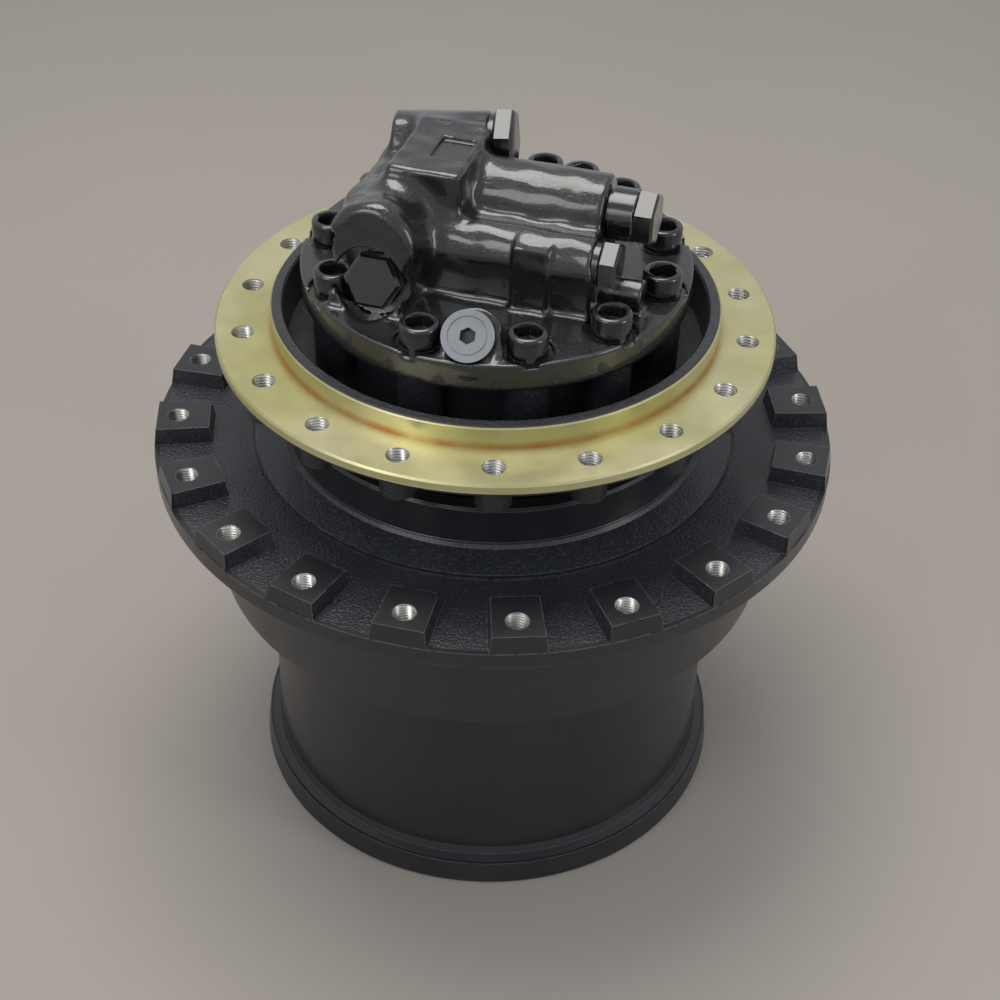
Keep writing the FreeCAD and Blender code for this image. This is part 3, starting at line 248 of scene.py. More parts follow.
class Groups:
    """The shared shader groups, built once."""

    def __init__(self) -> None:
        """Build every group."""
        self.grain = cast_grain_group()
        self.zone = zone_group()
        self.turned = turned_lines_group()
        self.edge = edge_highlight_group()
        self.cloud = cloud_group()


# ------------------------------------------------------------------ finishes

Colour = tuple[float, float, float]


class MaterialBuilder:
    """Material with a Principled shader fed by groups."""

    def __init__(self, name: str, groups: Groups) -> None:
        """Start a material with its shader."""
        self.material = bpy.data.materials.new(name)
        self.material.use_nodes = True
        self.tree = self.material.node_tree
        self.shader = self.tree.nodes["Principled BSDF"]
        self.groups = groups

    def set(self, **values: float) -> None:
        """Set constants on the shader, with underscores for spaces in their names."""
        for key, value in values.items():
            self.shader.inputs[key.replace("_", " ")].default_value = value

    def group(self, tree: bpy.types.NodeTree, **values: float) -> bpy.types.Node:
        """Place a shared group with its own values."""
        made = self.tree.nodes.new("ShaderNodeGroup")
        made.node_tree = tree
        for key, value in values.items():
            made.inputs[key].default_value = value
        return made

    def mix_colour(self, mask: object, low: object, high: object) -> bpy.types.NodeSocket:
        """Colour between low and high by a mask."""
        made = self.tree.nodes.new("ShaderNodeMix")
        made.data_type = "RGBA"
        for index, value in ((0, mask), (6, low), (7, high)):
            self.feed(made.inputs[index], value)
        return made.outputs[2]

    def mix_value(self, mask: object, low: object, high: object) -> bpy.types.NodeSocket:
        """Number between low and high by a mask."""
        made = self.tree.nodes.new("ShaderNodeMix")
        for index, value in ((0, mask), (2, low), (3, high)):
            self.feed(made.inputs[index], value)
        return made.outputs[0]

    def math(self, operation: str, first: object, second: object) -> bpy.types.NodeSocket:
        """Result of a Math node."""
        made = self.tree.nodes.new("ShaderNodeMath")
        made.operation = operation
        self.feed(made.inputs[0], first)
        self.feed(made.inputs[1], second)
        return made.outputs[0]

    def feed(self, target: bpy.types.NodeSocket, value: object) -> None:
        """Link a socket, or set a colour or a number."""
        if isinstance(value, bpy.types.NodeSocket):
            self.tree.links.new(value, target)
        elif isinstance(value, tuple):
            target.default_value = (*value, 1.0)
        else:
            target.default_value = value

    def colour(self, value: object) -> None:
        """Feed Base Color."""
        self.feed(self.shader.inputs["Base Color"], value)

    def roughness(self, value: object) -> None:
        """Feed Roughness."""
        self.feed(self.shader.inputs["Roughness"], value)

    def metallic(self, value: object) -> None:
        """Feed Metallic."""
        self.feed(self.shader.inputs["Metallic"], value)

    def bump(self, height: bpy.types.NodeSocket, distance: float, strength: float = 1.0) -> None:
        """Feed Normal from a height in units of distance."""
        made = self.tree.nodes.new("ShaderNodeBump")
        made.inputs["Strength"].default_value = strength
        made.inputs["Distance"].default_value = distance
        self.tree.links.new(height, made.inputs["Height"])
        self.tree.links.new(made.outputs[0], self.shader.inputs["Normal"])


@dataclass(frozen=True)
class CastPaint:
    """Black paint over a sand casting, with painted glints on the grain peaks."""

    name: str
    colour: Colour
    roughness: float
    coat: float
    grain_mm: float
    depth_mm: float
    waves: float

    def build(self, groups: Groups) -> bpy.types.Material:
        """Make the material."""
        maker = MaterialBuilder(self.name, groups)
        grain = maker.group(groups.grain, Size=self.grain_mm, Waves=self.waves)
        cloud = maker.group(groups.cloud, Scale=22.0)
        # Painted glints: a lighter colour on the grain peaks.
        painted_glint_colour = tuple(2.2 * c for c in self.colour)
        maker.colour(maker.mix_colour(grain.outputs["Painted_Glints"], self.colour, painted_glint_colour))
        maker.roughness(maker.mix_value(cloud.outputs["Value"], self.roughness * 0.8,
                                        self.roughness * 1.25))
        maker.set(Coat_Weight=self.coat, Coat_Roughness=0.08, IOR=1.5)
        maker.bump(grain.outputs["Height"], self.depth_mm * MM)
        return maker.material


@dataclass(frozen=True)
class SmoothPaint:
    """Black paint over a machined face, with a painted highlight along its sharp edges."""

    name: str
    colour: Colour
    edge_highlight_colour: Colour
    roughness: float
    coat: float
    edge_mm: float

    def build(self, groups: Groups) -> bpy.types.Material:
        """Make the material."""
        maker = MaterialBuilder(self.name, groups)
        edge = maker.group(groups.edge, Width=self.edge_mm * MM, Break=0.3)
        cloud = maker.group(groups.cloud, Scale=16.0)
        grain = maker.group(groups.grain, Size=1.1, Waves=0.2)
        tint = tuple(1.35 * c for c in self.colour)
        base = maker.mix_colour(cloud.outputs["Value"], self.colour, tint)
        # Painted highlight: a lighter colour along sharp edges, for light caught by the edges.
        maker.colour(maker.mix_colour(edge.outputs["Mask"], base, self.edge_highlight_colour))
        maker.roughness(maker.mix_value(cloud.outputs["Value"], self.roughness,
                                        self.roughness * 1.3))
        maker.set(Coat_Weight=self.coat, Coat_Roughness=0.15, IOR=1.5)
        maker.bump(grain.outputs["Height"], 0.00006)
        return maker.material


@dataclass(frozen=True)
class DrumPaint:
    """Sprocket drum: cast-rough web, machined pads, rim and barrel."""

    name: str = "drum_paint"
    colour: Colour = (0.011, 0.012, 0.0145)
    cast_tone_and_sky_light: Colour = (0.017, 0.019, 0.023)
    pad_face: float = 0.3553
    web_low: float = 0.3386
    web_outer: float = 0.2725

    def build(self, groups: Groups) -> bpy.types.Material:
        """Make the material."""
        maker = MaterialBuilder(self.name, groups)
        web = maker.group(groups.zone, Inner=0.0, Outer=self.web_outer, Low=self.web_low,
                          High=self.pad_face, Soft=0.0003)
        collar = maker.group(groups.zone, Inner=0.0, Outer=0.1706, Low=0.352, High=0.6)
        edge = maker.group(groups.edge, Width=0.0011, Break=0.34)
        grain = maker.group(groups.grain, Size=1.5, Waves=0.8)
        fine = maker.group(groups.grain, Size=1.0, Waves=0.2)
        cloud = maker.group(groups.cloud, Scale=14.0)
        cast = maker.math("SUBTRACT", web.outputs["Mask"], collar.outputs["Mask"])
        # Painted light: the up-facing cast web gets a lighter, bluer colour, partly its rough-cast tone
        # and partly light from above, with painted glints on its grain peaks.
        painted_glint_colour = tuple(2.3 * c for c in self.cast_tone_and_sky_light)
        cast_tint = maker.mix_colour(grain.outputs["Painted_Glints"], self.cast_tone_and_sky_light, painted_glint_colour)
        base = maker.mix_colour(cast, self.colour, cast_tint)
        # Painted highlight: light grey along sharp edges, for light caught by the pad and rim edges.
        maker.colour(maker.mix_colour(edge.outputs["Mask"], base, (0.13, 0.135, 0.14)))
        smooth = maker.mix_value(cloud.outputs["Value"], 0.3, 0.42)
        maker.roughness(maker.mix_value(cast, smooth, 0.36))
        maker.set(Coat_Weight=0.25, Coat_Roughness=0.2, IOR=1.5)
        height = maker.mix_value(cast, maker.math("MULTIPLY", fine.outputs["Height"], 0.06),
                                 grain.outputs["Height"])
        maker.bump(height, 0.0011)
        return maker.material


@dataclass(frozen=True)
class HousingFinish:
    """Motor housing: zinc-passivated frame flange on a black casting."""

    name: str = "housing_finish"
    pale: Colour = (0.60, 0.56, 0.33)
    deep: Colour = (0.47, 0.44, 0.19)
    warm: Colour = (0.52, 0.27, 0.07)
    black: Colour = (0.012, 0.013, 0.016)
    flange_low: float = 0.4405
    lip_inner: float = 0.1745
    lip_top: float = 0.4642

    def build(self, groups: Groups) -> bpy.types.Material:
        """Make the material."""
        maker = MaterialBuilder(self.name, groups)
        film = maker.group(groups.zone, Inner=self.lip_inner, Outer=0.3, Low=self.flange_low,
                           High=self.lip_top, Soft=0.0004)
        root = maker.group(groups.zone, Inner=0.17, Outer=0.1785, Low=0.44, High=0.4515,
                           Soft=0.0018)
        cloud = maker.group(groups.cloud, Scale=9.0)
        patch = maker.group(groups.cloud, Scale=31.0)
        turned = maker.group(groups.turned, Pitch=0.0009)
        grain = maker.group(groups.grain, Size=1.3, Waves=0.8)
        gold = maker.mix_colour(cloud.outputs["Value"], self.pale, self.deep)
        stain = maker.math("MULTIPLY", root.outputs["Mask"],
                           maker.mix_value(patch.outputs["Value"], 0.25, 0.8))
        gold = maker.mix_colour(stain, gold, self.warm)
        # Painted glints: a lighter colour on the grain peaks of the black casting.
        painted_glint_colour = tuple(2.3 * c for c in self.black)
        cast = maker.mix_colour(grain.outputs["Painted_Glints"], self.black, painted_glint_colour)
        mask = film.outputs["Mask"]
        maker.colour(maker.mix_colour(mask, cast, gold))
        maker.roughness(maker.mix_value(mask, 0.34,
                                        maker.mix_value(patch.outputs["Value"], 0.3, 0.4)))
        maker.metallic(maker.math("MULTIPLY", mask, 0.75))
        maker.set(Coat_Weight=0.2, Coat_Roughness=0.2, IOR=1.5)
        height = maker.mix_value(mask, grain.outputs["Height"],
                                 maker.math("MULTIPLY", turned.outputs["Height"], 0.02))
        maker.bump(height, 0.0009)
        return maker.material


@dataclass(frozen=True)
class BareMetal:
    """Unpainted metal with turned lines."""

    name: str
    colour: Colour
    roughness: float
    pitch_mm: float = 0.5

    def build(self, groups: Groups) -> bpy.types.Material:
        """Make the material."""
        maker = MaterialBuilder(self.name, groups)
        turned = maker.group(groups.turned, Pitch=self.pitch_mm * MM)
        cloud = maker.group(groups.cloud, Scale=30.0)
        darker = tuple(0.75 * c for c in self.colour)
        maker.colour(maker.mix_colour(cloud.outputs["Value"], self.colour, darker))
        maker.roughness(maker.mix_value(cloud.outputs["Value"], self.roughness,
                                        self.roughness * 1.4))
        maker.set(Metallic=1.0)
        maker.bump(turned.outputs["Height"], 0.00002)
        return maker.material


class Finishes:
    """Every material of the drive, built once."""

    def __init__(self) -> None:
        """Build the groups and the materials."""
        groups = Groups()
        black = (0.0065, 0.0065, 0.0075)
        self.gloss_cast = CastPaint("gloss_casting", black, 0.26, 0.9, 1.5, 0.55, 1.2).build(groups)
        # In each smooth paint, the grey after the base colour is its painted edge highlight.
        self.gloss_plain = SmoothPaint("gloss_machined", black, (0.1, 0.1, 0.11), 0.2, 0.8,
                                       0.6).build(groups)
        self.satin = SmoothPaint("satin_black", (0.0105, 0.0115, 0.014), (0.16, 0.165, 0.17),
                                 0.33, 0.2, 0.9).build(groups)
        self.drum = DrumPaint().build(groups)
        self.housing = HousingFinish().build(groups)
        self.thread = BareMetal("tapped_steel", (0.62, 0.60, 0.56), 0.3).build(groups)
        self.plug = BareMetal("plug_steel", (0.30, 0.31, 0.33), 0.36).build(groups)
        self.ground = BareMetal("ground_steel", (0.55, 0.55, 0.56), 0.28).build(groups)
        self.iron = BareMetal("bare_iron", (0.23, 0.23, 0.235), 0.5, 0.9).build(groups)
        self.bronze = BareMetal("bearing_bronze", (0.6, 0.42, 0.2), 0.32).build(groups)


# ------------------------------------------------------------------ mesh helpers

def make_object(name: str, points: object, faces: object, material: bpy.types.Material,
                sharp: float = 35.0) -> bpy.types.Object:
    """Make a shaded mesh object.

    Args:
        name: Name of the piece.
        points: Vertices in metres.
        faces: Tuples of vertex numbers.
        material: Finish of the piece.
        sharp: Edges over this many degrees stay crisp.

    Returns:
        The linked object.
    """
    mesh = bpy.data.meshes.new(name)
    mesh.from_pydata(points, [], faces)
    mesh.validate()
    mesh.materials.append(material)
    mesh.shade_smooth()
    mesh.set_sharp_from_angle(angle=math.radians(sharp))
    made = bpy.data.objects.new(name, mesh)
    bpy.context.scene.collection.objects.link(made)
    return made


def tidy(mesh: bpy.types.Mesh) -> None:
    """Merge doubled vertices and turn faces outwards."""
    work = bmesh.new()
    work.from_mesh(mesh)
    bmesh.ops.remove_doubles(work, verts=work.verts, dist=1e-7)
    bmesh.ops.recalc_face_normals(work, faces=work.faces)
    work.to_mesh(mesh)
    work.free()


class MeshKit:
    """Collects points and faces of one piece, in millimetres, under a placement."""

    def __init__(self) -> None:
        """Start empty."""
        self.points: list[Vector] = []
        self.faces: list[tuple[int, ...]] = []

    def add(self, points: list[Point], faces: list[tuple[int, ...]], place: Matrix) -> None:
        """Add a shape given in its own frame."""
        start = len(self.points)
        self.points += [place @ Vector(p) * 1.0 for p in points]
        self.faces += [tuple(start + i for i in face) for face in faces]

    def lathe(self, profile: list[tuple[float, float]], place: Matrix, segments: int = 48) -> None:
        """Add a turned shape from (radius, height) points that start and end on the axis."""
        points: list[Point] = []
        rings: list[list[int]] = []
        for radius, height in profile:
            if radius < 1e-6:
                rings.append([len(points)])
                points.append((0.0, 0.0, height))
                continue
            rings.append(list(range(len(points), len(points) + segments)))
            for k in range(segments):
                angle = 2.0 * math.pi * k / segments
                points.append((radius * math.cos(angle), radius * math.sin(angle), height))
        self.add(points, join_rings(rings), place)

    def prism(self, sections: list[tuple[float, float]], place: Matrix, sides: int = 6) -> None:
        """Add a polygon shape from (corner radius, height) sections, closed at both ends."""
        points: list[Point] = []
        rings: list[list[int]] = []
        for radius, height in sections:
            if radius < 1e-6:
                rings.append([len(points)])
                points.append((0.0, 0.0, height))
                continue
            rings.append(list(range(len(points), len(points) + sides)))
            for k in range(sides):
                angle = 2.0 * math.pi * k / sides
                points.append((radius * math.cos(angle), radius * math.sin(angle), height))
        self.add(points, join_rings(rings), place)

    def build(self, name: str, material: bpy.types.Material, sharp: float = 35.0) -> bpy.types.Object:
        """Make the object in metres."""
        points = [tuple(p * MM) for p in self.points]
        made = make_object(name, points, self.faces, material, sharp)
        tidy(made.data)
        made.data.set_sharp_from_angle(angle=math.radians(sharp))
        return made


def join_rings(rings: list[list[int]]) -> list[tuple[int, ...]]:
    """Faces between successive rings, where a ring of one point is a tip."""
    faces: list[tuple[int, ...]] = []
    for low, high in zip(rings, rings[1:]):
        count = max(len(low), len(high))
        for k in range(count):
            after = (k + 1) % count
            if len(low) == 1:
                faces.append((low[0], high[k], high[after]))
            elif len(high) == 1:
                faces.append((low[k], high[0], low[after]))
            else:
                faces.append((low[k], high[k], high[after], low[after]))
    return faces


def head_place(at: Point, turn: float = 0.0, lift: float = 90.0, spin: float = 0.0) -> Matrix:
    """Placement in the valve head's own frame.

    Args:
        at: Point in millimetres in the head's frame.
        turn: Heading of the piece's +Z about the output axis, in degrees.
        lift: Angle of that +Z above level, in degrees.
        spin: Turn about the piece's own +Z, in degrees.

    Returns:
        Placement in the row frame.
    """
    return (Matrix.Rotation(HEAD_TURN, 4, "Z") @ Matrix.Translation(at)
            @ Matrix.Rotation(math.radians(turn), 4, "Z")
            @ Matrix.Rotation(math.radians(90.0 - lift), 4, "Y")
            @ Matrix.Rotation(math.radians(spin), 4, "Z"))


def hand_over(piece: bpy.types.Object, body: Body, slot: str, *nodes: str) -> None:
    """Put a piece on its body and in place of CAD nodes."""
    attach(piece, body.value)
    if nodes:
        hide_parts(*nodes)
    LOG.info("%s on %s: %d faces", piece.name, body.value, len(piece.data.polygons))


# ------------------------------------------------------------------ field modelling

class Field:
    """Distance field over points in the head's frame, in millimetres."""

    def __init__(self, points: np.ndarray) -> None:
        """Start with nothing solid."""
        self.x, self.y, self.z = points
        self.value = np.full(self.x.shape, 1e3, np.float32)

    def cylinder(self, start: Point, turn: float, lift: float, length: float, radius: float,
                 soft: float = 0.0) -> np.ndarray:
        """Distance to a cylinder with an end rounding of soft."""
        level = math.cos(math.radians(lift))
        axis = (level * math.cos(math.radians(turn)), level * math.sin(math.radians(turn)),
                math.sin(math.radians(lift)))
        dx, dy, dz = self.x - start[0], self.y - start[1], self.z - start[2]
        along = dx * axis[0] + dy * axis[1] + dz * axis[2]
        away = np.sqrt(np.maximum(dx * dx + dy * dy + dz * dz - along * along, 0.0))
        side = away - (radius - soft)
        end = np.abs(along - length / 2) - (length / 2 - soft)
        outer = np.sqrt(np.maximum(side, 0.0) ** 2 + np.maximum(end, 0.0) ** 2)
        return outer + np.minimum(np.maximum(side, end), 0.0) - soft

    def block(self, low: Point, high: Point, soft: float = 0.0, turn: float = 0.0) -> np.ndarray:
        """Distance to a box between two corners, turned about its own middle."""
        middle = [(a + b) / 2 for a, b in zip(low, high)]
        half = [(b - a) / 2 - soft for a, b in zip(low, high)]
        dx, dy, dz = self.x - middle[0], self.y - middle[1], self.z - middle[2]
        if turn:
            c, s = math.cos(math.radians(turn)), math.sin(math.radians(turn))
            dx, dy = dx * c + dy * s, dy * c - dx * s
        sides = [np.abs(d) - h for d, h in zip((dx, dy, dz), half)]
        outer = np.sqrt(sum(np.maximum(d, 0.0) ** 2 for d in sides))
        inner = np.minimum(np.maximum(np.maximum(sides[0], sides[1]), sides[2]), 0.0)
        return outer + inner - soft

    def plane(self, at: Point, normal: Point) -> np.ndarray:
        """Signed distance above a plane."""
        size = math.sqrt(sum(n * n for n in normal))
        return sum((v - a) * n / size for v, a, n in zip((self.x, self.y, self.z), at, normal))

    def join(self, other: np.ndarray, fillet: float) -> None:
        """Add a shape with a fillet of about that radius."""
        if fillet <= 0.0:
            self.value = np.minimum(self.value, other)
            return
        reach = fillet * 2.0
        blend = np.maximum(reach - np.abs(self.value - other), 0.0) / reach
        self.value = np.minimum(self.value, other) - blend * blend * reach * 0.25

    def carve(self, other: np.ndarray, fillet: float = 0.0) -> None:
        """Take a shape away."""
        other = -other
        if fillet <= 0.0:
            self.value = np.maximum(self.value, other)
            return
        reach = fillet * 2.0
        blend = np.maximum(reach - np.abs(self.value - other), 0.0) / reach
        self.value = np.maximum(self.value, other) + blend * blend * reach * 0.25

    def ripple(self, depth: float) -> None:
        """Uneven swell of a sand casting."""
        x, y, z = self.x, self.y, self.z
        swell = (np.sin(x * 0.19 + 1.3 * np.sin(y * 0.11)) * np.sin(y * 0.17 + 0.7)
                 + 0.6 * np.sin(z * 0.23 + x * 0.09) * np.sin(y * 0.29 + z * 0.07))
        self.value = self.value + depth * swell.astype(np.float32)


def net_surface(shape: object, low: Point, high: Point, step: float) -> tuple[np.ndarray, np.ndarray]:
    """Quads over the zero surface of a field.

    Args:
        shape: Function from points (3, ...) to distances.
        low: Lowest corner of the region, in millimetres.
        high: Highest corner of the region.
        step: Grid spacing.

    Returns:
        Vertices (n, 3) and quads (m, 4).
    """
    axes = [np.arange(a, b + step, step, dtype=np.float32) for a, b in zip(low, high)]
    grid = np.stack(np.meshgrid(*axes, indexing="ij"))
    value = shape(grid)
    inside = value < 0
    count = [n - 1 for n in value.shape]
    corners = [(i, j, k) for i in (0, 1) for j in (0, 1) for k in (0, 1)]
    total = np.zeros(count, np.int8)
    for i, j, k in corners:
        total += inside[i:i + count[0], j:j + count[1], k:k + count[2]]
    cells = np.argwhere((total > 0) & (total < 8))
    spot = np.zeros((len(cells), 3))
    hits = np.zeros(len(cells))
    for a in corners:
        for axis in range(3):
            if a[axis]:
                continue
            b = tuple(1 if n == axis else a[n] for n in range(3))
            va = value[tuple((cells + a).T)]
            vb = value[tuple((cells + b).T)]
            cross = (va < 0) != (vb < 0)
            t = np.where(cross, va / np.where(cross, va - vb, 1.0), 0.0)
            point = np.array(a, float)[None] + t[:, None] * (np.array(b) - np.array(a))
            spot[cross] += point[cross]
            hits[cross] += 1
    points = (cells + spot / hits[:, None]) * step + np.array(low)
    number = np.full(count, -1, np.int64)
    number[tuple(cells.T)] = np.arange(len(cells))
    quads = []
    for axis in range(3):
        u, v = (axis + 1) % 3, (axis + 2) % 3
        first = np.moveaxis(inside, axis, 0)[:-1]
        second = np.moveaxis(inside, axis, 0)[1:]
        edges = np.argwhere(np.moveaxis(first != second, 0, axis))
        keep = (edges[:, u] > 0) & (edges[:, v] > 0)
        keep &= (edges[:, u] < count[u]) & (edges[:, v] < count[v])
        edges = edges[keep]
        ring = []
        for du, dv in ((1, 1), (0, 1), (0, 0), (1, 0)):
            cell = edges.copy()
            cell[:, u] -= du
            cell[:, v] -= dv
            ring.append(number[tuple(cell.T)])
        ring = np.stack(ring, 1)
        outward = inside[tuple(edges.T)]
        ring[~outward] = ring[~outward][:, ::-1]
        quads.append(ring)
    return settle(shape, points, step), np.concatenate(quads)


def settle(shape: object, points: np.ndarray, step: float) -> np.ndarray:
    """Move points onto the zero surface along its slope, by less than a grid step."""
    start = points.copy()
    small = step * 0.25
    for _ in range(3):
        here = shape(points.T.astype(np.float32))
        slope = np.stack([
            shape((points + small * np.eye(3)[n]).T.astype(np.float32))
            - shape((points - small * np.eye(3)[n]).T.astype(np.float32)) for n in range(3)], 1)
        slope /= 2 * small
        size = np.maximum((slope ** 2).sum(1), 0.2)
        points = points - 0.8 * (here / size)[:, None] * slope
    shift = points - start
    length = np.linalg.norm(shift, axis=1)
    limit = np.minimum(1.0, step * 0.8 / np.maximum(length, 1e-6))
    return start + shift * limit[:, None]


# ------------------------------------------------------------------ valve head

@dataclass
class ValveHead:
    """Valve head casting on the motor: spool barrels, tower, ports and flange."""

    seat: float = 478.0
    flange_top: float = 500.0
    flange_radius: float = 150.9
    screw_circle: float = 131.0
    screw_angles: tuple[float, ...] = (27, 57, 75.5, 89.5, 122, 154, 186.5, 219, 262, 296.5,
                                       326, 357)
    grid_step: float = 1.35

    def shape(self, points: np.ndarray) -> np.ndarray:
        """Distance to the casting at points in the head's frame."""
        f = Field(points)
        top = self.flange_top
        f.join(f.block((-71, -60, top - 4), (88, 26, 533), 6), 5)
        f.join(f.block((-38, -66, top - 4), (90, -46, 536), 3), 3)
        f.join(f.cylinder((-38, -49, 538), 0, 0, 126, 18, 1.5), 5)
        f.join(f.cylinder((-30, 2, 552), 0, 0, 115, 28, 2.5), 6)
        f.join(f.block((-38, -49, top - 4), (84, 4, 547), 3), 6)
        f.join(f.block((-71, -51, top - 4), (-14, 30, 590), 4), 5)
        f.join(f.block((-101, -62, top - 4), (-50, 34, 566), 14), 9)
        f.join(f.cylinder((-66, -40, 541), -90, 8, 62, 33, 8), 9)
        f.join(f.block((-97, -108, top - 4), (-40, -50, 512), 3), 4)
        f.join(f.cylinder((-66, -60, 524), -90, 20, 27, 33, 3), 6)
        f.join(f.cylinder((-93, 36, 565), 8.4, 4.7, 74, 22, 3), 7)
        f.join(f.block((-84, 20, top - 4), (-24, 56, 560), 10), 9)
        arch = np.maximum(f.cylinder((45, -57, top - 4), 0, 90, 56, 12.5, 1.2),
                          -f.plane((45, -57, 0), (0, 1, 0)))
        arch = np.minimum(arch, f.block((32.5, -71, top - 4), (57.5, -57, 552), 1.2))
        f.join(arch, 2.5)
        f.join(f.cylinder((82, -40, 512), 0, 0, 42, 11, 1.5), 4)
        f.join(f.cylinder((19, -111, 490), -82, 45, 28, 23, 2), 5)
        f.ripple(0.35)
        flange = f.cylinder((0, 0, self.seat), 0, 90, top - self.seat, self.flange_radius, 1.5)
        f.join(flange, 4)
        for angle in self.screw_angles:
            x = self.screw_circle * math.cos(math.radians(angle))
            y = self.screw_circle * math.sin(math.radians(angle))
            f.carve(f.cylinder((x, y, top - 4), 0, 90, 60, 19), 1.2)
        f.carve(f.block((-45, -27, 587), (-19, 6, 600), 0.5), 0.6)
        f.carve(f.cylinder((-66, -83, 515), -90, 20, 40, 27), 1.0)
        f.carve(f.cylinder((-20, 46, 571), 8.4, 4.7, 40, 27), 1.0)
        f.carve(f.cylinder((19, -132, 511), -82, 45, 30, 19.5), 0.6)
        return np.maximum(f.value, self.seat - f.z)

    def build(self, finishes: Finishes) -> None:
        """Make the casting."""
        points, quads = net_surface(self.shape, (-156, -156, 474), (156, 156, 604), self.grid_step)
        turn = np.array(Matrix.Rotation(HEAD_TURN, 3, "Z"))
        points = points @ turn.T * MM
        piece = make_object("valve_head_casting", points.tolist(), quads.tolist(),
                            finishes.gloss_cast, 60.0)
        hand_over(piece, Body.HOUSING, "gloss_black", "valve_head")


@dataclass
class HeadScrews:
    """Socket-head screws round the valve head's flange."""

    head: ValveHead
    seat: float = 496.0
    head_radius: float = 15.0
    head_height: float = 20.0
    key_radius: float = 9.8

    def build(self, finishes: Finishes) -> None:
        """Make all the screws as one piece."""
        kit = MeshKit()
        for angle in self.head.screw_angles:
            turn = math.radians(angle)
            at = (self.head.screw_circle * math.cos(turn), self.head.screw_circle * math.sin(turn),
                  self.seat)
            self.add_screw(kit, head_place(at, spin=angle * 7.0))
        piece = kit.build("head_screws", finishes.gloss_plain)
        hand_over(piece, Body.HOUSING, "black_steel", "valve_head_screws")

    def add_screw(self, kit: MeshKit, place: Matrix) -> None:
        """Add one head, with its hexagon socket."""
        r, h, key = self.head_radius, self.head_height, self.key_radius
        rim = [(0, 0.3), (r, 0.3), (r, h - 2.0), (r - 0.6, h - 0.8), (r - 2.0, h),
               (key + 1.2, h)]
        kit.lathe(rim + [(key + 0.1, h - 1.1)], place, 48)
        kit.prism([(key + 0.1, h - 1.1), (key - 0.2, h - 1.6), (key - 0.2, h - 10.0), (0, h - 13.0)],
                  place)


@dataclass
class PortPlugs:
    """Hexagon plugs and spool caps in the valve head."""

    def build(self, finishes: Finishes) -> None:
        """Make each plug in place of its CAD node."""
        plugs = (
            ("front_plug", "front_port_plug", head_place((-66, -83, 515), -90, 20, 30),
             22.0, 20.0, 4.0, 17.0),
            ("rear_plug", "rear_port_plug", head_place((-20, 46, 571), 8.4, 4.7), 26.0, 21.0,
             5.0, 19.0),
            ("counterbalance_end", "counterbalance_cap", head_place((88, 2, 552), 0, 0), 21.5,
             20.0, 19.0, 34.0),
            ("shift_end", "shift_cap", head_place((88, -49, 538), 0, 0), 18.5, 16.0, 6.0, 19.0))
        for name, node, place, hexagon, collar, seat, height in plugs:
            kit = MeshKit()
            self.add_plug(kit, place, hexagon, collar, seat, height)
            piece = kit.build(name, finishes.gloss_plain)
            hand_over(piece, Body.HOUSING, "gloss_black", node)

    def add_plug(self, kit: MeshKit, place: Matrix, hexagon: float, collar: float, seat: float,
                 height: float) -> None:
        """Add a turned collar and a chamfered hexagon."""
        flat = hexagon * math.cos(math.radians(30))
        kit.lathe([(0, -2), (collar - 2, -2), (collar - 2, 0.2), (collar, 0.8), (collar, seat - 1.2),
                   (collar - 1, seat - 0.2), (flat - 1.5, seat), (0, seat)], place)
        kit.prism([(0, seat), (hexagon - 0.8, seat), (hexagon, seat + 0.8),
                   (hexagon, height - 1.8), (flat + 0.4, height), (0, height)], place)


# ------------------------------------------------------------------ threads

@dataclass
class TappedHoles:
    """Internal threads of one ring of tapped holes."""

    name: str
    body: Body
    slot: str
    circle: float
    count: int
    phase: float
    face: float
    depth: float
    crest: float = 7.5
    root: float = 8.7
    pitch: float = 2.5
    segments: int = 24

    def build(self, finishes: Finishes) -> None:
        """Make the threads of every hole as one piece."""
        kit = MeshKit()
        points, faces = self.thread()
        for k in range(self.count):
            turn = Matrix.Rotation(math.radians(self.phase + 360.0 * k / self.count), 4, "Z")
            kit.add(points, faces, turn @ Matrix.Translation((self.circle, 0, self.face)))
        piece = make_object(self.name, [tuple(p * MM) for p in kit.points], kit.faces,
                            finishes.thread, 50.0)
        hand_over(piece, self.body, self.slot)

    def thread(self) -> tuple[list[Point], list[tuple[int, ...]]]:
        """One helical thread surface below the face."""
        rows = int(self.depth / self.pitch * 6)
        points: list[Point] = []
        for row in range(rows + 1):
            height = -self.depth * row / rows
            for k in range(self.segments):
                angle = 2.0 * math.pi * k / self.segments
                cycle = (height / self.pitch - k / self.segments) % 1.0
                ridge = min(1.0, max(0.0, 2.6 * abs(cycle - 0.5) - 0.15))
                radius = self.crest + (self.root - self.crest) * ridge
                radius = max(radius, self.root - (-height) * 0.7)
                points.append((radius * math.cos(angle), radius * math.sin(angle), height))
        faces = []
        for row in range(rows):
            for k in range(self.segments):
                after = (k + 1) % self.segments
                a, b = row * self.segments, (row + 1) * self.segments
                faces.append((a + k, a + after, b + after, b + k))
        return points, faces


# ------------------------------------------------------------------ carried nodes

